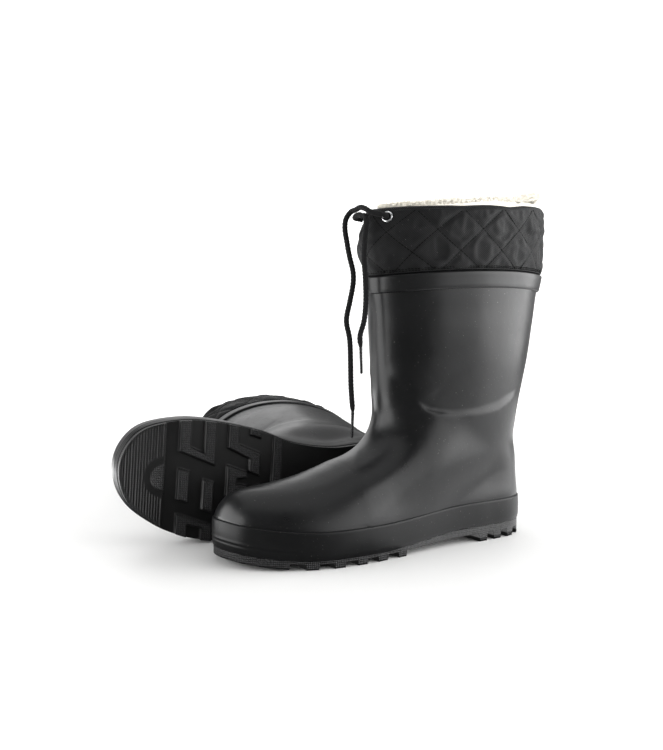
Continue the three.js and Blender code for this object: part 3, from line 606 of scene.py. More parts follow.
def quilted_nylon():
    """Black ribbed nylon: fine crossing ribs with a slight sheen, and lint."""
    made = Finish("quilted_nylon", (0.0017, 0.0018, 0.002), Specular_IOR_Level=0.24,
                  Sheen_Weight=0.02, Sheen_Roughness=0.4)
    warp = made.node("TexWave", {"Vector": made.surface_uv, "Scale": 350, "Distortion": 0.25,
                                 "Detail": 1}, bands_direction="DIAGONAL").outputs["Fac"]
    weft = made.node("TexWave", {"Vector": made.surface_uv, "Scale": 560, "Distortion": 0.2,
                                 "Detail": 1}, bands_direction="X").outputs["Fac"]
    weave = made.plus(made.times(warp, 0.8), made.times(weft, 0.2))
    cloudy = made.ramp(made.noise(0.02, 4), 0.3, 0.7)
    shade = made.blend_color(cloudy, made.lighter(0.8), made.lighter(1.3))
    lint = made.ramp(made.noise(0.0016, 2), 0.72, 0.76)
    shade = made.blend_color(made.times(weave, 0.85), shade, made.lighter(4.6))
    made.set_color(made.blend_color(made.times(lint, 0.3), shade, (0.2, 0.2, 0.19, 1)))
    made.set_roughness(made.ramp(weave, 0, 1, 0.66, 0.48))
    made.add_bump(weave, 0.00028, 0.9)


def soft_pile(name, color, curl, height):
    """Matted fibres: fleece or felt."""
    made = Finish(name, color, Specular_IOR_Level=0.15, Sheen_Weight=0.35, Sheen_Roughness=0.6)
    clumps = made.ramp(made.noise(curl, 4, distortion=1.2), 0.3, 0.7)
    made.set_color(made.blend_color(clumps, made.lighter(0.88), made.lighter(1.05)))
    made.set_roughness(made.ramp(clumps, 0, 1, 1.0, 0.88))
    made.add_bump(made.noise(curl / 5, 3, distortion=0.8), height, 0.7)


def flecked(name, color, roughness, fleck, gain, **constants):
    """A plain material with flecks: board, sheet, thread or metal."""
    made = Finish(name, color, **constants)
    spots = made.ramp(made.noise(fleck, 5), 0.35, 0.65)
    made.set_color(made.blend_color(spots, made.lighter(1 / gain), made.lighter(gain)))
    made.set_roughness(made.ramp(spots, 0, 1, roughness - 0.06, roughness + 0.08))
    made.add_bump(made.noise(fleck / 3, 3), fleck / 20, 0.5)


rubber("upper_rubber", (0.0062, 0.0064, 0.0069), 0.32, 0.000008)
rubber("band_rubber", (0.0066, 0.0068, 0.0073), 0.33, 0.00002, dust=0.3)
rubber("foxing_rubber", (0.0072, 0.0074, 0.0078), 0.38, 0.00002, shine=0.24)
stippled_rubber("sole_rubber", (0.0048, 0.0048, 0.005), 0.42)
quilted_nylon()
soft_pile("fleece", (0.92, 0.885, 0.80), 0.004, 0.0004)
soft_pile("felt", (0.56, 0.54, 0.48), 0.002, 0.0003)
flecked("fibreboard", (0.40, 0.32, 0.22), 0.85, 0.002, 1.3)
flecked("stiffener", (0.60, 0.60, 0.56), 0.75, 0.004, 1.08)
flecked("eyelet_metal", (0.86, 0.87, 0.88), 0.26, 0.003, 1.06, Metallic=1.0)
flecked("cord", (0.0045, 0.0045, 0.005), 0.85, 0.0012, 1.7, Specular_IOR_Level=0.25, Sheen_Weight=0.04)
flecked("thread", (0.0015, 0.0015, 0.0016), 0.9, 0.0008, 1.6, Specular_IOR_Level=0.08)
flecked("aglet_plastic", (0.010, 0.010, 0.011), 0.28, 0.0015, 1.3)


# ---- The drawstring -------------------------------------------------------------------------
CORD_RADIUS = 2.3
AGLET_RADIUS = 1.3
EYELET_DROP = 8
HEM_DEPTH = 14
HEM_CORNER = 2.5
TUNNEL_DEPTH = 5.5
OUTER_CROSSING = [(162.8, 12.5, 280), (164.3, 7, 283), (164.8, 0, 284.6), (165.2, -5.5, 283.3),
                  (165.3, -7.6, 282.9), (165.3, -8.9, 282.9)]
INNER_CROSSING = [(160.5, -14.5, 277.4), (163, -9, 278.6), (164, -2, 278.8), (164.8, 2.3, 277.6),
                  (164.9, 4, 277.3), (164.9, 5.3, 277.3)]
LONG_TAIL = [(165.3, -9.2, 282.9), (165.3, -10.6, 282.9), (166.8, -13.6, 280.6), (169, -15.6, 275.5),
             (169.6, -16, 268.5), (167.6, -16, 257), (165.2, -15.5, 244.5), (162.7, -14, 232),
             (162.9, -13.5, 222.5), (166.3, -13.5, 206.5), (169.6, -13.5, 191),
             (166.4, -13.5, 175.5), (165.8, -13, 158), (165.3, -13, 136), (163.8, -12.5, 114)]
SHORT_TAIL = [(164.9, 5.6, 277.3), (164.9, 7, 277.3), (164.9, 9.2, 275.4), (165, 9.4, 271),
              (165.2, 8.8, 265), (166.5, 8.5, 244.5), (165.1, 8.5, 225.3), (164.6, 8.5, 208),
              (166.3, 8.5, 191), (170.3, 8.5, 178), (169.6, 8.5, 169)]
LONG_AGLET_END = (164.8, -12.2, 91.5)
SHORT_AGLET_END = (168.8, 8.5, 147)
AGLET_LENGTH = 22
BRAID_TWIST = 0.95  # mm of cord for each radian that its strands turn
BRAID_DEPTH = 0.24
# An eyelet sits on a flat facet of the CAD's collar, between these drops from the collar's top.
FACET_LOW, FACET_HIGH = HEM_DEPTH + 6, HEM_CORNER


def eyelet_frame(side):
    """An eyelet's middle and its axes along and out of the collar; side is 1 on the outer side."""
    flat = turns(24)[1:3]
    low, high = (shaft_point(side * flat, collar_top(flat) - drop, 0) for drop in (FACET_LOW, FACET_HIGH))
    low_middle, high_middle = low.mean(0), high.mean(0)
    rise = (FACET_LOW - EYELET_DROP) / (FACET_LOW - FACET_HIGH)
    away = unit((low[1] - low[0]) * (1, 1, 0))
    out = unit(np.cross(high_middle - low_middle, away) * -side)
    return low_middle + (high_middle - low_middle) * rise, away, out


def resample(path, spacing):
    lengths = run_along(path)
    at = np.linspace(0, lengths[-1], max(2, round(lengths[-1] / spacing) + 1))
    return np.stack([np.interp(at, lengths, path[:, k]) for k in range(3)], -1), at


def tube(path, radii, sides, ripple=None):
    """Rings of points round a path, each turned as little as possible from the last."""
    tangents = unit(np.gradient(path, axis=0))
    across = np.cross(tangents[0], (0, 0.3, 1) if abs(tangents[0][2]) < 0.9 else (1, 0.2, 0))
    rings = []
    theta = circle(sides)
    for i, (centre, along) in enumerate(zip(path, tangents)):
        across = unit(across - along * (across @ along))
        up = np.cross(along, across)
        radius = radii[i] + (0 if ripple is None else ripple(i, theta))
        rings.append(centre + (np.outer(np.cos(theta) * radius, across)
                               + np.outer(np.sin(theta) * radius, up)))
    return np.array(rings)


def braided_cord(name, knots, body, taper_end=False):
    """A round braided cord through the knots, in the left boot's frame, with its path and length."""
    path, at = resample(catmull_rom(knots, 24, closed=False), 0.55)
    radii = np.full(len(path), CORD_RADIUS)
    if taper_end:
        left = at[-1] - at
        thin = AGLET_RADIUS * 1.1
        radii = thin + (CORD_RADIUS - thin) * smooth(0, 5, left) ** 0.7

    def braid(i, theta):
        turn = at[i] / BRAID_TWIST
        strands = np.cos(4 * theta + turn) * np.cos(4 * theta - turn)
        return BRAID_DEPTH * (strands - 0.7) * (radii[i] / CORD_RADIUS)

    rings = tube(path, radii, 24, braid)
    piece = loft("left_" + name + "_braid", rings, "left", caps=True, flip=True)
    dress(piece, body, "cord", "left_" + name)
    return piece, to_row(path, "left"), at[-1] * MM


def aglet(name, tail, end, body):
    """The tip of a tail: a thin sleeve with a crimp, a rounded end and a collar over the cord."""
    last, tip = np.array(tail[-1], float), np.array(end, float)
    span = np.linalg.norm(tip - last)
    along = (tip - last) / span
    length = min(AGLET_LENGTH, span - 0.3)
    steps = np.array([-1.4, -1.2, 0.6, 1.2, 2.2, 2.6, 3.0, 3.4, 4.2, 10,
                      length - 1, length - 0.35, length - 0.05])
    shape = np.array([0.55, 0.95, 1.08, 1.1, 1.1, 0.94, 0.94, 1.06, 1.0, 0.93, 0.88, 0.7, 0.3])
    path = tip + along * (steps - length)[:, None]
    rings = tube(path, AGLET_RADIUS * shape, 20)
    piece = loft("left_" + name + "_tip", rings, "left", caps=True, flip=True)
    dress(piece, body, "aglet_plastic", "left_" + name)
    return piece


def crossing_knots(side, onwards):
    """From inside the hem out through an eyelet, then through the knots given."""
    middle, away, out = eyelet_frame(side)
    inside = [(9.2, -TUNNEL_DEPTH - 0.9), (5.4, -TUNNEL_DEPTH + 0.2), (2, -4.4), (0.1, -1.6), (0, 1.2),
              (-0.2, 4.2)]
    return [middle + away * a + out * b for a, b in inside] + list(onwards)


hem_angles = np.radians(np.linspace(33, 327, 33))
hem_knots = shaft_point(hem_angles, collar_top(hem_angles) - EYELET_DROP, -TUNNEL_DEPTH)
braided_cord("hem_cord", hem_knots, "left_boot")
long_tail = braided_cord("long_cord_tail", LONG_TAIL, "left_long_tail", True)
short_tail = braided_cord("short_cord_tail", SHORT_TAIL, "left_short_tail", True)
outer_run = braided_cord("outer_cord_crossing", crossing_knots(1, OUTER_CROSSING), "left_boot")
inner_run = braided_cord("inner_cord_crossing", crossing_knots(-1, INNER_CROSSING), "left_boot")
long_aglet = aglet("long_cord_aglet", LONG_TAIL, LONG_AGLET_END, "left_long_tail")
short_aglet = aglet("short_cord_aglet", SHORT_TAIL, SHORT_AGLET_END, "left_short_tail")
for (piece, path, length), tip in ((long_tail, long_aglet), (short_tail, short_aglet)):
    tuple(path[0])
for piece, path, length in (outer_run, inner_run):
    tuple(path[0])


# ---- Plan views of the sole: closed bodies between two heights ------------------------------
def outline_ring(per_span, inset):
    """The sole's outline, moved in by an inset that is a number or one per point."""
    ring = catmull_rom(OUTLINE, per_span, closed=True)
    along = unit(np.roll(ring, -1, 0) - np.roll(ring, 1, 0))
    inward = np.stack([along[:, 1], -along[:, 0]], -1)
    return ring + inward * np.reshape(inset, (-1, 1))


def plan_edges(inset, xs):
    """The lowest and highest y of the inset outline at each x, and its own x limits."""
    ring = outline_ring(24, inset)
    ring = np.roll(ring, -int(np.argmin(ring[:, 0])), 0)
    tip = int(np.argmax(ring[:, 0]))
    outer, inner = ring[:tip + 1], np.concatenate([ring[tip:], ring[:1]])[::-1]
    xs = np.clip(xs, ring[:, 0].min() + 0.02, ring[tip, 0] - 0.02)
    sides = [np.interp(xs, np.maximum.accumulate(side[:, 0]), side[:, 1]) for side in (outer, inner)]
    return xs, np.minimum(*sides), np.maximum(*sides)


def plan_solid(name, xs, y_step, inset, bottom, top, side, walls=3, full_top=True, move=None):
    """A closed body over the inset outline. bottom and top give z; walls is the rows on the side.

    It is returned with its points and which of them are on its wall.
    """
    xs, low, high = plan_edges(inset, xs)
    columns = np.arange(low.min() - y_step, high.max() + y_step, y_step)
    x = np.repeat(xs[:, None], len(columns), 1)
    y = np.clip(columns, low[:, None], high[:, None])
    inner = (y > low[:, None] + 0.02) & (y < high[:, None] - 0.02)
    if move is not None:
        moved_x, moved_y = move(x, y)
        x, y = np.where(inner, moved_x, x), np.where(inner, moved_y, y)
    rows, cols = x.shape
    cells = grid_faces(rows, cols, wrap_cols=False)
    index = cells[..., 0] * cols + cells[..., 1]
    points = [np.stack([x, y, bottom(x, y)], -1).reshape(-1, 3)]
    faces = [index]
    # Round the edge: out along the outer side and back along the inner side.
    edge_x, edge_y = np.concatenate([xs, xs[::-1]]), np.concatenate([high, low[::-1]])
    edge_low, edge_high = bottom(edge_x, edge_y), top(edge_x, edge_y)
    share = np.linspace(0, 1, walls + 1)[:, None]
    edge_z = edge_low + (edge_high - edge_low) * share
    wall = np.stack([edge_x + 0 * share, edge_y + 0 * share, edge_z], -1)
    count = len(edge_x)
    start = len(points[0])
    end = start + (walls + 1) * count
    cells = grid_faces(walls + 1, count)
    faces.append((start + cells[..., 0] * count + cells[..., 1] % count)[:, ::-1])
    points.append(wall.reshape(-1, 3))
    if full_top:
        faces.append((end + index)[:, ::-1])
        points.append(np.stack([x, y, top(x, y)], -1).reshape(-1, 3))
    else:
        i = np.arange(rows - 1)
        outer, inner = end - count + i, end - 1 - i
        faces.append(np.stack([outer + 1, inner - 1, inner, outer], -1))
    points = np.concatenate(points)
    faces = np.concatenate(faces)
    perimeter = np.concatenate([[0], np.cumsum(np.hypot(np.diff(edge_x), np.diff(edge_y)))])
    uv = points[:, :2].copy()
    uv[start:end] = np.stack([perimeter + 0 * share, edge_z], -1).reshape(-1, 2)
    made = mesh_object(name, points, faces, side, uv[faces])
    on_wall = np.zeros(len(points), bool)
    on_wall[start:end] = True
    return made, points, on_wall


def weld(piece):
    """Joins points that meet, and drops the faces that have shrunk to nothing."""
    distance = 0.004 * MM
    work = bmesh.new()
    work.from_mesh(piece.data)
    bmesh.ops.remove_doubles(work, verts=work.verts, dist=distance)
    bmesh.ops.dissolve_degenerate(work, edges=work.edges, dist=distance)
    bmesh.ops.recalc_face_normals(work, faces=work.faces)
    work.to_mesh(piece.data)
    work.free()
    piece.data.shade_smooth()


# ---- The tread ------------------------------------------------------------------------------
EDGE = 60  # a lug that reaches the sole's edge ends this far out, past it
ROW_A, ROW_B, ROW_C, ROW_D, ROW_E = (232.5, 243), (210.5, 221), (190, 200), (169.5, 180), (149, 158.5)
RIBBED_TOE_X = 254
RIB_PITCH = 2.3
DISC_CENTRE = (RIBBED_TOE_X, -3.6)
DISC_RADIUS, DISC_RING_INSIDE = 17, 12
HEEL_BAR, HEEL_BAR_PITCH, HEEL_BARS = 9.5, 17, 3


def bar(span, inner, outer):
    return [(span[0], inner), (span[1], inner), (span[1], outer), (span[0], outer)]


def tread_lugs():
    """The outline of each lug, in plan."""
    a, b, c, d, e = ROW_A, ROW_B, ROW_C, ROW_D, ROW_E
    lugs = [
        [(a[1], -EDGE), (a[0], -EDGE), (a[0], -29.5), (b[1], -24), (b[1], -EDGE), (b[0], -EDGE),
         (b[0], -13), (a[1], -25.5)],
        [(a[1], -11.5), (a[0], -8.5), (a[0], 19), (a[1], 16)],
        [(b[1], -2), (b[0], 1), (b[0], 28), (b[1], 25)],
        [(a[1], 27), (b[0], 38), (b[0], EDGE), (b[1], EDGE), (b[1], 41), (a[0], 38), (a[0], EDGE),
         (a[1], EDGE)],
        [(c[1], -EDGE), (c[0], -EDGE), (c[0], -32), (d[0], -24), (d[0], -3.5), (d[1], -8),
         (d[1], -19), (c[1], -28.5)],
        [(d[1], -EDGE), (d[0], -EDGE), (d[0], -36.5), (d[1], -40)],
        [(c[1], -14), (d[1] + 1, -7.5), (d[1] + 1, -2.5), (c[0], -1.5), (c[0], 3), (d[1] + 1, 4),
         (d[1] + 1, 8.5), (c[1], 15)],
        [(c[1], EDGE), (c[0], EDGE), (c[0], 33), (d[0], 22), (d[0], 3.5), (d[1], 7), (d[1], 17),
         (c[1], 29)],
        [(d[1], EDGE), (d[0], EDGE), (d[0], 36), (d[1], 39)],
        bar(e, -EDGE, EDGE), bar((RIBBED_TOE_X, 310), -EDGE, EDGE), bar((56, 66), -EDGE, EDGE),
        [(12, -5), (46, -5), (50, 0), (46, 5), (12, 5)],
    ]
    for i in range(HEEL_BARS):
        start = 5 + HEEL_BAR_PITCH * i
        span = (start, start + HEEL_BAR)
        lugs += [bar(span, 10, EDGE), bar(span, -EDGE, -10)]
    return [np.array(lug, float) for lug in lugs]


LUGS = tread_lugs()
LUG_TOP_INSET = 0.9  # the lugs' sides slope in by this much


def lug_distance(x, y):
    """The distance outside the nearest lug, negative inside it."""
    return np.minimum.reduce([polygon_distance(x, y, lug) for lug in LUGS])


def toward_lug_edges(x, y):
    """Moves grid points onto the lugs' foot and top edges, so that the edges are crisp."""
    distance = lug_distance(x, y)
    slope_x = lug_distance(x + 0.05, y) - distance
    slope_y = lug_distance(x, y + 0.05) - distance
    length = np.hypot(slope_x, slope_y) + 1e-9
    for level in (0, -LUG_TOP_INSET):
        near = np.abs(distance - level) < 0.3
        step = np.where(near, level - distance, 0)
        x, y = x + slope_x / length * step, y + slope_y / length * step
        distance = distance + step
    return x, y


def from_disc(x, y):
    return np.hypot(x - DISC_CENTRE[0], y - DISC_CENTRE[1])


def rib_wave(x):
    """From 0 on the crest of a toe rib to 1 in its groove."""
    return 0.5 - 0.5 * np.cos(2 * np.pi * (x - RIBBED_TOE_X) / RIB_PITCH)


def tread_height(x, y):
    """The underside: lugs with a sunk panel on each, and ribs round a disc under the toe."""
    distance = lug_distance(x, y)
    share = smooth(0.15, -LUG_TOP_INSET, distance)
    panel = 0.22 * smooth(-1.5, -2.1, distance)
    radius = from_disc(x, y)
    ribbed = smooth(RIBBED_TOE_X + 1, RIBBED_TOE_X + 1.6, x)
    rib_depth = 0.95 * rib_wave(x) ** 0.8 * smooth(DISC_RADIUS, DISC_RADIUS + 1, radius)
    rib_depth = rib_depth * smooth(-2.6, -3.4, outline_distance(x, y))
    ring_depth = 0.45 * smooth(DISC_RADIUS + 0.6, DISC_RADIUS, radius)
    ring_depth = ring_depth * smooth(DISC_RING_INSIDE - 0.6, DISC_RING_INSIDE + 0.2, radius)
    panel = np.where(ribbed > 0, (rib_depth + ring_depth) * ribbed, panel)
    top = toe_spring(x) + panel
    return sole_underside(x) + (top - sole_underside(x)) * share


def sole_stations():
    """Where the tread's grid has its rows: closer together at the two ends and on the ribs."""
    regular = np.concatenate([np.arange(5, RIBBED_TOE_X - 0.3, 0.62),
                              np.arange(RIBBED_TOE_X, SOLE_LENGTH - 5, RIB_PITCH / 4)])
    heel = 1 + 4 * np.linspace(0, 1, 14, endpoint=False) ** 2
    toe = SOLE_LENGTH - 1 - 4 * np.linspace(1, 0, 16) ** 2
    return np.concatenate([heel, regular, toe[toe > regular[-1] + 0.1]])


def outsole(side):
    piece, points, on_wall = plan_solid(
        side + "_tread", sole_stations(), 0.66, 1, tread_height,
        lambda x, y: sole_top(x) - 0.3, side, walls=5, full_top=False, move=toward_lug_edges)
    x, y, z = points.T
    radius = from_disc(x, y)
    panels = smooth(-1.5, -2, lug_distance(x, y)) * (x < RIBBED_TOE_X - 1)
    disc = smooth(DISC_RING_INSIDE - 0.6, DISC_RING_INSIDE - 1.2, radius) * (x > RIBBED_TOE_X + 0.6)
    # Painted highlight: the toe ribs' crests take 0.8 of the stipple, whose lighter colour draws each crest
    # as a light line; its dots also bump them.
    crest_highlight = smooth(0.35, 0.1, rib_wave(x)) * (z < sole_underside(x) - 0.5)
    crest_highlight = crest_highlight * (radius > DISC_RADIUS + 1) * (x > RIBBED_TOE_X + 1.6)
    stipple_and_crest_highlight = np.where(on_wall, 1, np.maximum(panels + disc, 0.8 * crest_highlight))
    stipple_and_highlight_layer = piece.data.attributes.new("stipple_and_crest_highlight", "FLOAT", "POINT")
    stipple_and_highlight_layer.data.foreach_set("value", stipple_and_crest_highlight.astype(np.float32))
    weld(piece)
    dress(piece, side + "_boot", "sole_rubber", side + "_outsole")


# ---- The rubber upper and what is moulded onto it -------------------------------------------
RUBBER_THICKNESS = 2.2
GAP = 0.3  # between pieces that lie on each other
BAND_HEIGHT = 14


def upper(side):
    outer_rays = sock_rays(208, 26, 18, 84, 60, seam_height)
    outer = reach_skin(outer_rays, 0, GAP, upper_relief(side))
    inner_rays = sock_rays(208, 6, 5, 14, 14, seam_height)
    inner = reach_skin(inner_rays, RUBBER_THICKNESS, RUBBER_THICKNESS + GAP)
    outer[-1, :, :2] = outer[-1, :, :2] * 0.985 + inner[-1, :, :2] * 0.015  # eases the top edge
    rows = np.concatenate([outer, inner[::-1]])
    piece = loft(side + "_shell", rows, side, caps=True)
    dress(piece, side + "_boot", "upper_rubber", side + "_upper")


def top_band(side):
    angle = turns(208)
    high = seam_height(angle) - 0.6
    low = high - BAND_HEIGHT
    profile = [(low - 0.1, -0.9), (low, 0.7), (low + 0.3, 1.25), (low + 1, 1.5), (low + 4, 1.45),
               (low + 7, 1.38), (high - 4, 1.42), (high - 1.1, 1.45), (high - 0.35, 1.2), (high, 0.6),
               (high, -0.9)]
    rows = [shaft_point(angle, height, out) for height, out in profile]
    piece = loft(side + "_band", rows, side, looped=True, flip=True)
    dress(piece, side + "_boot", "band_rubber", side + "_top_band")


def back_strip(side):
    heights = np.linspace(33, 216.5, 100)[:, None]
    ys = np.array([-3.3, -3.1, -2.7, -1.6, 0, 1.6, 2.7, 3.1, 3.3])
    out = np.array([-0.4, 0.35, 0.9, 1.1, 1.15, 1.1, 0.9, 0.35, -0.4])
    starts = np.stack([75 + 0 * heights * ys, ys + 0 * heights, heights + 0 * ys], -1)
    rays = (starts, np.broadcast_to([-1.0, 0, 0], starts.shape))
    relief = upper_relief(side)
    outer = reach_skin(rays, -out, GAP, relief)
    inner = reach_skin(rays, 0.6, GAP, relief)
    rows = np.concatenate([outer, inner[:, ::-1]], 1)
    piece = loft(side + "_back_seam", rows, side, caps=True)
    dress(piece, side + "_boot", "upper_rubber", side + "_back_strip")


TOE_RIDGES = ((0.36, 0.34, 0.05), (0.2, 0.2, 0.04), (0.28, -0.22, 0.04))  # height, out and width


def foxing(side):
    """The wall round the sole, whose top runs in under the upper."""
    x = outline_ring(16, 0)[:, 0]
    low, high = sole_top(x) - 0.1, foxing_top(x)
    toe = smooth(225, 270, x)

    def row(inset, height):
        return np.concatenate([outline_ring(16, inset + 0 * x), (height + 0 * x)[:, None]], 1)

    meets_upper = halve_to(lambda inset: boot_distance(row(inset, high)) < SKIRT, 0 * x, 14.0 + 0 * x, 14)
    lip = np.maximum(meets_upper, 1)
    rows = [row(3.4, low), row(1.1, low), row(0.45, low + 0.25)]
    for s in np.linspace(0, 1, 22):
        bulge = 0.3 * math.sin(math.pi * s) - 0.35 * np.exp(-(s / 0.08) ** 2)
        ridges = toe * sum(out * np.exp(-((s - at) / width) ** 2) for at, out, width in TOE_RIDGES)
        inset = -bulge - ridges + 0.02 * np.sin(x / 9)
        rows.append(row(inset, low + 0.9 + (high - 1.9 - low - 0.9) * s))
    rows += [row(0.1, high - 0.9), row(0.35, high - 0.35), row(0.35 + (lip - 0.35) * 0.4, high - 0.12),
             row(0.35 + (lip - 0.35) * 0.75, high - 0.1), row(lip - 0.1, high + 0.05),
             row(lip + 0.8, high - 1.2)]
    piece = loft(side + "_foxing_wall", rows, side, looped=True)
    dress(piece, side + "_boot", "foxing_rubber", side + "_foxing")


# ---- The quilted collar ---------------------------------------------------------------------
DIAMONDS = 11
CELLS = 16  # grid cells across a diamond
QUILT_NODE_SHARE = 0.625  # height of a row of crossings, as a share of the collar's height
QUILT_NODE_TURN = 0.0458  # where the first crossing is round the collar, as a share of the girth
QUILT_ROWS = np.arange(-15, 9)  # the grid's rows, counted from that row of crossings
ROW_SHARE = 2.25 / COLLAR_HEIGHT
CLOTH_REACH = 1.2  # mm, the most that the simulation may move a point
EYELETS = [eyelet_frame(1), eyelet_frame(-1)]
# The collar's section, as distances out of the skin and up from a level. The cloth turns in over the
# rubber's edge at the seam, rolls over at the top and comes down inside, round the hem.
SEAM_TURN = ((-4.1, -11), (-2.9, -11), (-2.6, -5), (-2.5, 0.1), (-1.2, 0.45), (-0.2, 0.6), (0.15, 0.9))
TOP_ROLL = (  # out and up, and how far each follows the gathers
    (0.1, -3.2, 0.3, 0.3), (-0.5, -1.4, 0.3, 0.5), (-2, -0.2, 0.2, 0.7), (-4.5, 0.3, 0, 0.8),
    (-7.2, 0.1, 0, 0.7), (-9.2, -1.2, 0, 0.5), (-10, -3.4, 0, 0.3))
HEM_INSIDE = ((-10.1, -8), (-10, -HEM_DEPTH), (-9.4, -HEM_DEPTH - 0.5), (-8.7, -HEM_DEPTH), (-8.6, -5),
              (-7.6, -2.6), (-5, -2), (-3, -2.5), (-2.2, -5), (-2.2, -HEM_DEPTH), (-2.3, -24))
SEAM_INSIDE = ((-2.4, 18), (-3.4, 10), (-4.1, 2))


def girth_angles(count, start=0.0):
    """Angles that are evenly spaced along the collar's girth, from a share of it."""
    fine = np.linspace(0, 2 * np.pi, 2001)
    length = run_along(shaft_point(fine, 262, 0))
    share = start + np.arange(count) / count
    return np.interp(share % 1, length / length[-1], fine) + 2 * np.pi * np.floor(share), length[-1]


class Lattice:
    """Smooth repeatable noise from -1 to 1."""

    def __init__(self, seed):
        self.values = np.random.default_rng(seed).uniform(-1, 1, (32, 32, 32))

    def __call__(self, p, size):
        q = np.asarray(p) / size + 7.3
        base = np.floor(q).astype(int)
        t = q - base
        t = t * t * (3 - 2 * t)
        total = 0
        for corner in np.ndindex(2, 2, 2):
            i, j, k = np.moveaxis((base + corner) % 32, -1, 0)
            weight = np.prod([t[..., a] if corner[a] else 1 - t[..., a] for a in range(3)], axis=0)
            total = total + self.values[i, j, k] * weight
        return total


def settle_cloth(name, points, faces, pinned, slack, pressure):
    """Lets a sheet with spare cloth settle between its pinned points. Points are in metres."""
    mesh = bpy.data.meshes.new(name)
    mesh.from_pydata(points.tolist(), [], faces.tolist())
    sheet = bpy.data.objects.new(name, mesh)
    bpy.context.scene.collection.objects.link(sheet)
    pins = sheet.vertex_groups.new(name="pins")
    pins.add(np.flatnonzero(pinned).tolist(), 1.0, "REPLACE")
    cloth = sheet.modifiers.new("cloth", "CLOTH")
    settings = cloth.settings
    settings.quality = 7
    settings.mass = 0.2
    settings.tension_stiffness = settings.compression_stiffness = 14
    settings.shear_stiffness = 6
    settings.bending_stiffness = 0.25
    settings.vertex_group_mass = "pins"
    settings.shrink_min = -slack
    settings.use_pressure = True
    settings.uniform_pressure_force = pressure
    settings.effector_weights.gravity = 0
    cloth.collision_settings.use_collision = False
    cloth.collision_settings.use_self_collision = False
    frames = 24
    cloth.point_cache.frame_end = frames
    for number in range(1, frames + 1):
        bpy.context.scene.frame_set(number)
    settled = sheet.evaluated_get(bpy.context.evaluated_depsgraph_get())
    found = np.array([v.co for v in settled.data.vertices], float)
    bpy.data.objects.remove(sheet)
    bpy.context.scene.frame_set(1)
    return found


def cap_moves(rest, settled, limit):
    """The settled points, with none further than the limit from where it was."""
    moves = settled - rest
    length = np.linalg.norm(moves, axis=-1, keepdims=True) + 1e-12
    return rest + moves * np.minimum(1, limit / length)


def flatten_at_eyelets(points):
    """Presses the cloth flat where an eyelet is clenched on it."""
    for middle, away, out in EYELETS:
        offset = points - middle
        height = offset @ out
        across = np.linalg.norm(offset - height[..., None] * out, axis=-1)
        press = (1 - smooth(5.2, 10, across)) * (np.abs(height) < 6)
        points = points + ((0.25 - height) * press)[..., None] * out
    return points


def collar_rings(angle, level, spots):
    """Rings round the collar, each at a distance out of the skin and up from the level."""
    return [shaft_point(angle, level + up, out) for out, up in spots]


def collar_face(side, angle, seam, top, lattice):
    """The outer face: rows that meet the quilting's crossings, from the seam to the top roll."""
    cols = len(angle)
    j, k = np.arange(cols), QUILT_ROWS[:, None]
    share = QUILT_NODE_SHARE + k * ROW_SHARE
    on_line = ((j + k) % CELLS == 0) | ((j - k) % CELLS == 0)
    u, v = j / CELLS, k / CELLS
    from_line = np.minimum(np.abs((u + v + 0.5) % 1 - 0.5), np.abs((u - v + 0.5) % 1 - 0.5)) * 2
    puff = 0.95 * (1 - np.exp(-(from_line / 0.17) ** 1.5))
    height = seam + (top - seam) * share
    spot = shaft_point(angle, height, 0)
    ease = smooth(0, 0.12, share) * (1 - 0.7 * smooth(0.8, 1, share))
    fold = 3.4 * lattice(spot * (1, 1, 1.4), 24) + 0.8 * lattice(spot, 12)
    crease = -4.2 * np.exp(-((share - 0.54 - 0.03 * np.sin(3 * angle)) / 0.04) ** 2)
    crease = crease * (0.4 + 0.6 * smooth(-0.5, 0.4, lattice(spot * (1, 1, 0), 30)))
    out = (0.1 + puff + fold * from_line + crease * from_line) * ease
    face = flatten_at_eyelets(shaft_point(angle, height, out))
    cells = grid_faces(len(k), cols)
    faces = cells[..., 0] * cols + cells[..., 1] % cols
    held = on_line.copy()
    held[[0, -1]] = True
    for middle, _, _ in EYELETS:
        held |= np.linalg.norm(face - middle, axis=-1) < 8
    rest = face.reshape(-1, 3) * MM
    settled = settle_cloth(side + "_cloth", rest, faces[:, ::-1], held.ravel(), 0.03, 2)
    face = cap_moves(rest, settled, CLOTH_REACH * MM).reshape(face.shape) / MM
    return face, height


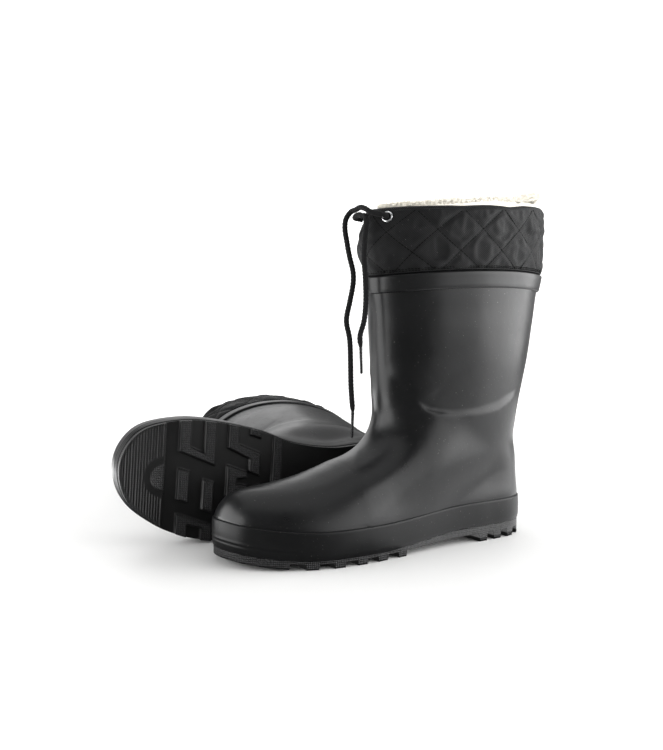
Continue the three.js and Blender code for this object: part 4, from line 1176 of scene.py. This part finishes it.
def collar(side):
    lattice = Lattice(5 if side == "right" else 3)
    angle, girth = girth_angles(DIAMONDS * CELLS, QUILT_NODE_TURN)
    cols = len(angle)
    seam = seam_height(angle)
    above = shaft_point(angle, 300, 0)
    top = collar_top(angle) + 1.5 * lattice(above, 24)
    gather = 0.55 * lattice(above, 9) + 0.5 * lattice(above, 17)
    face, height = collar_face(side, angle, seam, top, lattice)
    roll = [shaft_point(angle, top + up + lift * gather, out + sway * gather)
            for out, up, sway, lift in TOP_ROLL]
    rows = np.concatenate([collar_rings(angle, seam, SEAM_TURN), face, roll,
                           collar_rings(angle, top, HEM_INSIDE),
                           collar_rings(angle, seam, SEAM_INSIDE)])
    across = np.linalg.norm(np.diff(rows, axis=0), axis=-1).mean(1)
    run = np.concatenate([[0], np.cumsum(across), [across.sum() + 12]])
    uv = np.stack(np.broadcast_arrays(np.arange(cols + 1) * girth / cols, run[:, None]), -1)
    piece = loft(side + "_quilting", rows, side, looped=True, uv=uv)
    smoother = piece.modifiers.new("smoother", "SUBSURF")
    smoother.levels = smoother.render_levels = 1
    apply_modifiers(piece)
    for middle, _, out in EYELETS:
        cut_hole(piece, side, middle, out)
    rest_on_floor(piece)
    dress(piece, side + "_boot", "quilted_nylon", side + "_collar")

    # The threads: along both families of lines, and round the bottom edge.
    raised = face + 0.32 * (shaft_point(angle, height, 1) - shaft_point(angle, height, 0))
    row = np.arange(len(QUILT_ROWS))
    threads = []
    for direction in (1, -1):
        for first in range(0, cols, CELLS):
            line = raised[row, (first + direction * QUILT_ROWS) % cols]
            threads += stitches(line, 2.9, 2.5, 0.3)
    turn = girth_angles(900)[0]
    for level, out in ((2.1, 0.5), (3.4, 0.75)):
        line = shaft_point(turn, seam_height(turn) + level + 0.25 * np.sin(turn * 40), out)
        threads += stitches(np.concatenate([line, line[:1]]), 2.7, 1.9, 0.33)
    piece = capsules(side + "_collar_stitching", threads, side)
    dress(piece, side + "_boot", "thread")


def apply_modifiers(piece):
    """Replaces the mesh by what its modifiers make of it."""
    made = bpy.data.meshes.new_from_object(piece.evaluated_get(bpy.context.evaluated_depsgraph_get()))
    piece.modifiers.clear()
    piece.data = made
    made.shade_smooth()


def rest_on_floor(piece):
    """Presses cloth that would reach under the floor flat on it."""
    points = np.empty(3 * len(piece.data.vertices))
    piece.data.vertices.foreach_get("co", points)
    points[2::3] = smooth_max(points[2::3], 0.3 * MM, 1.2 * MM)
    piece.data.vertices.foreach_set("co", points)


def cut_hole(piece, side, middle, out):
    """Cuts a round hole through the cloth for an eyelet."""
    path = middle + np.outer([-3.4, 4], out)
    punch = loft("punch", tube(path, np.full(2, 3.5), 24), side, caps=True, flip=True)
    cut = piece.modifiers.new("hole", "BOOLEAN")
    cut.operation = "DIFFERENCE"
    cut.object = punch
    cut.solver = "EXACT"
    apply_modifiers(piece)
    bpy.data.objects.remove(punch)


def stitches(line, pitch, length, radius):
    """The ends and radius of each stitch along a line."""
    path, at = resample(line, 0.3)
    starts = np.arange(pitch / 2, at[-1] - length, pitch)
    ends = [np.stack([np.interp(starts + shift, at, path[:, k]) for k in range(3)], -1)
            for shift in (0, length)]
    return [(a, b, radius) for a, b in zip(*ends)]


def ring_round(first_axis, second_axis, corners):
    """The corners of a ring round each of many middles, from two axes across it."""
    theta = circle(corners)[:, None]
    return np.cos(theta) * first_axis[:, None] + np.sin(theta) * second_axis[:, None]


def many_tubes(name, rows, side):
    """Short closed tubes, all in one mesh. Each row has one ring of every tube."""
    rows = np.stack(rows, 1)
    count, levels, corners = rows.shape[:3]
    cells = grid_faces(levels, corners)
    skin = cells[..., 0] * corners + cells[..., 1] % corners
    start = (np.arange(count) * levels * corners)[:, None]
    faces = (skin[None] + start[..., None]).reshape(-1, 4)[:, ::-1]
    first = start + np.arange(corners)
    last = first + (levels - 1) * corners
    return mesh_object(name, rows.reshape(-1, 3), [faces, first, last[:, ::-1]], side)


def capsules(name, spans, side):
    """Short round-ended threads, all in one mesh."""
    starts, ends, radii = (np.array(part) for part in zip(*spans))
    along = unit(ends - starts)
    aside = unit(np.cross(along, (0.31, 0.2, 0.93)))
    ring = ring_round(aside, np.cross(along, aside), 6) * radii[:, None, None]
    rows = [(starts + (ends - starts) * share)[:, None] + ring * size
            for share, size in ((0, 0.25), (0.1, 0.85), (0.5, 1.05), (0.9, 0.85), (1, 0.25))]
    return many_tubes(name, rows, side)


def eyelets(side):
    profile = [(3.3, -2.3), (3.25, 0.5), (3.4, 1.05), (3.8, 1.32), (4.3, 1.2), (4.7, 0.8), (4.9, 0.35),
               (4.8, 0.15), (4.2, 0.1), (3.68, 0.1), (3.65, -2.3)]  # radius and height of its section
    theta = circle(56)
    for (middle, away, out), name in zip(EYELETS, ("outer_eyelet", "inner_eyelet")):
        up = np.cross(out, away)
        spoke = np.outer(np.cos(theta), away) + np.outer(np.sin(theta), up)
        rows = [middle + spoke * radius + out * height for radius, height in profile]
        piece = loft(f"{side}_{name}_ring", rows, side, looped=True, flip=True)
        dress(piece, side + "_boot", "eyelet_metal", f"{side}_{name}")


# ---- The fleece and the footbed -------------------------------------------------------------
BOARD_TOP = RUBBER_THICKNESS + 2 * GAP + 2.4
LINING_BOTTOM = BOARD_TOP + 0.5
FOOTBED_BOTTOM = LINING_BOTTOM + 4 + GAP
FOOTBED_THICKNESS = 6
FOOTBED_INSET = 17


def lining_depth(plain, at_hem):
    """A depth under the skin that grows where the fleece passes behind the hem."""
    return lambda p: plain + (at_hem - plain) * smooth(252, 265, p[..., 2])


def lining(side):
    lattice = Lattice(8 if side == "right" else 9)
    outer = reach_skin(sock_rays(128, 8, 6, 24, 26, lining_top), lining_depth(5.2, 11.2), LINING_BOTTOM)
    inner_rays = sock_rays(256, 14, 10, 60, 90, lining_top)
    inner_skin = reach_skin(inner_rays, lining_depth(10.2, 15.2), LINING_BOTTOM + 4)
    z = inner_skin[..., 2:]
    curls = lattice(inner_skin, 3.4) + 0.5 * lattice(inner_skin, 1.8) + 0.8 * lattice(inner_skin, 9)
    amount = 0.35 + 0.75 * smooth(60, 120, z)
    inner = inner_skin + inner_rays[1] * (curls[..., None] * amount)
    outer = np.repeat(outer, 2, axis=1)
    outer[:, 1::2] = (outer[:, 1::2] + np.roll(outer[:, ::2], -1, 1)) / 2
    turn = turns(inner.shape[1])
    rim = []
    for out, drop in ((-11.3, 1.4), (-12, 0.5), (-13.1, 0.2), (-14.3, 0.6)):
        p = shaft_point(turn, lining_top(turn) - drop, out)
        p[..., 2] += 1.1 * lattice(p, 4) + 0.9 * lattice(p, 9)
        rim.append(p)
    outer[-1, :, 2] -= 2.5
    inner[-1, :, 2] -= 1.5
    rows = np.concatenate([outer, rim, inner[::-1]])
    piece = loft(side + "_fleece", rows, side, caps=True)
    dress(piece, side + "_boot", "fleece", side + "_lining")
    tufts(side, lattice)


def tufts(side, lattice):
    """Curled locks of pile on the fleece's rim and down its inner face."""
    chance = np.random.default_rng(21 if side == "left" else 22)
    count = 6500
    on_rim = chance.random(count) < 0.5
    angle = chance.uniform(0, 2 * np.pi, count)
    top = lining_top(angle)
    back = smooth(0.6, 0.9, back_share(angle)) * on_rim
    drop = np.where(on_rim, chance.uniform(0.2, 1.8, count), 62 * chance.random(count) ** 1.4)
    out = np.where(on_rim, chance.uniform(-15.2, -11.2, count) + 4 * back, -15.0)
    root = shaft_point(angle, top - drop, out)
    inward = root - shaft_point(angle, top - drop, out + 1)
    up = np.array([0.0, 0, 1])
    lean = np.where(on_rim, chance.uniform(-0.9, 0.9, count), chance.uniform(0.5, 1.1, count))
    lean = (lean - 0.9 * back)[:, None]
    rise = np.where(on_rim, chance.uniform(0.5, 1.1, count), chance.uniform(-0.2, 0.7, count))[:, None]
    aside = np.cross(inward, up) * chance.uniform(-0.9, 0.9, count)[:, None]
    heading = unit(inward * lean + up * rise + aside)
    bushy = 1 + 0.35 * lattice(root, 14)
    length = (chance.uniform(3.2, 6.2, count) * bushy * (1 + 1.3 * back))[:, None]
    cross_a = unit(np.cross(heading, chance.normal(size=(count, 3))))
    cross_b = np.cross(heading, cross_a)
    phase = chance.uniform(0, 6.28, count)[:, None]
    ring = ring_round(cross_a, cross_b, 4)
    rows = []
    for t in np.arange(7) / 6:
        coil = 1.15 * t ** 0.7
        centre = (root + heading * length * t * (1 - 0.25 * t)
                  + coil * (cross_a * np.cos(phase + 5.5 * t) + cross_b * np.sin(phase + 5.5 * t)))
        rows.append(centre[:, None] + ring * (0.62 * (1 - t) ** 0.6 + 0.12))
    piece = many_tubes(side + "_fleece_locks", rows, side)
    dress(piece, side + "_boot", "fleece")


def footbed(side):
    lattice = Lattice(4)

    def edge_round(x, y):
        return 1.4 * np.exp(-np.clip(-(outline_distance(x, y) + FOOTBED_INSET), 0, None) / 1.2)

    def top(x, y):
        felt = 0.25 * lattice(np.stack([x, y, 0 * x], -1), 5)
        return sole_top(x) + FOOTBED_BOTTOM + FOOTBED_THICKNESS - edge_round(x, y) - 0.3 + felt

    def bottom(x, y):
        return sole_top(x) + FOOTBED_BOTTOM + 0.5 * edge_round(x, y)

    stations = np.arange(FOOTBED_INSET, SOLE_LENGTH - FOOTBED_INSET, 2.0)
    piece, _, _ = plan_solid(side + "_insole", stations, 2.0, FOOTBED_INSET, bottom, top, side)
    weld(piece)
    dress(piece, side + "_footbed", "felt", side + "_footbed")


# ---- The boots ------------------------------------------------------------------------------
INNER_NODES = {"heel_counter": "stiffener", "toe_puff": "stiffener", "insole_board": "fibreboard"}
for side in ("left", "right"):
    for make in (upper, top_band, back_strip, foxing, outsole, collar, eyelets, lining, footbed):
        make(side)
    for name, look in INNER_NODES.items():
        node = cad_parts[f"{side}_{name}"]
        node.data.materials.clear()
        node.data.materials.append(LOOKS[look])


# ---- The studio -----------------------------------------------------------------------------
STUDIO_MIDDLE = Vector((-0.06, -0.09, 0))  # under the pair, in metres


def studio_floor():
    """A white floor that curves up far away, all round."""
    profile = [(0.001, 0), (0.5, 0), (1.2, 0), (2.2, 0), (3.0, 0.05), (3.7, 0.3), (4.2, 0.9), (4.4, 1.8),
               (4.4, 3.2)]
    angles = circle(96)
    rows = [np.stack([r * np.cos(angles), r * np.sin(angles), z + 0 * angles], -1) / MM for r, z in profile]
    floor = loft("studio_floor", rows, None)
    made = Finish("studio_floor", (0.76, 0.76, 0.755))
    patches = made.ramp(made.noise(0.5, 2), 0.3, 0.7)
    made.set_color(made.blend_color(patches, (0.75, 0.75, 0.745, 1), (0.77, 0.77, 0.765, 1)))
    made.surface.inputs["Emission Color"].default_value = (1, 1, 1, 1)
    far = made.node("VectorMath", {0: made.place}, operation="LENGTH").outputs["Value"]
    made.tree.links.new(made.ramp(far, 0.5, 1.6, 0.0, 0.75), made.surface.inputs["Emission Strength"])
    floor.data.materials.append(made.material)
    floor.visible_glossy = False  # the bounce cards below stand for what the rubber sees of it


def softbox(name, place, size, power, target=STUDIO_MIDDLE + Vector((0, 0, 0.12))):
    light = bpy.data.objects.new(name, bpy.data.lights.new(name, "AREA"))
    light.data.shape = "RECTANGLE"
    light.data.size, light.data.size_y = size
    light.data.energy = power
    light.location = place
    light.rotation_euler = (target - place).to_track_quat("-Z", "Y").to_euler()
    light.visible_camera = False
    bpy.context.scene.collection.objects.link(light)
    return light


def at_camera(right, forward, height):
    """A place by how far right of and beyond the boots it is, as the camera sees them."""
    ahead = Vector((*CAMERA_HEADING, 0))
    side = Vector((CAMERA_HEADING[1], -CAMERA_HEADING[0], 0))
    return STUDIO_MIDDLE + side * right + ahead * forward + Vector((0, 0, height))


studio_floor()
SOFTBOXES = (  # name, how far right and beyond, height, width, tallness, watts
    ("right_softbox", 1.05, 0.05, 0.42, 1.1, 0.9, 15.5),
    ("right_front_softbox", 0.85, -0.75, 0.45, 0.7, 0.9, 4),
    ("right_back_softbox", 0.7, 0.95, 0.35, 0.9, 0.7, 0.6),
    ("left_softbox", -1.0, -0.2, 0.32, 1.3, 0.66, 9.5),
    ("left_front_softbox", -0.85, -0.8, 0.45, 0.6, 0.9, 0.7),
    ("back_softbox", -0.5, 1.2, 0.5, 1.0, 0.9, 2.5),
    ("far_top_softbox", 0.0, 1.2, 1.0, 2.0, 1.1, 4),
    ("top_softbox", 0.0, 0.1, 1.7, 2.2, 2.0, 11),
)
for name, right, beyond, height, width, tallness, watts in SOFTBOXES:
    softbox(name, at_camera(right, beyond, height), (width, tallness), watts)
BOUNCE_CARDS = (  # name, how far right and beyond, width, watts
    ("right_bounce", 0.47, 0.1, 0.9, 4),
    ("left_bounce", -0.55, 0.45, 0.7, 6),
    ("left_front_bounce", -0.5, -0.1, 0.5, 4),
)
for name, right, beyond, width, watts in BOUNCE_CARDS:
    flat = at_camera(right, beyond, 0.003)
    softbox(name, flat, (width, width), watts, flat + Vector((0, 0, 1))).visible_diffuse = False
world = bpy.data.worlds.new("studio")
world.use_nodes = True
world.node_tree.nodes["Background"].inputs["Color"].default_value = (1, 1, 1, 1)
world.node_tree.nodes["Background"].inputs["Strength"].default_value = 0.12
bpy.context.scene.world = world
view = bpy.context.scene.view_settings
view.view_transform = "Standard"
view.exposure = 0.1
view.gamma = 0.92
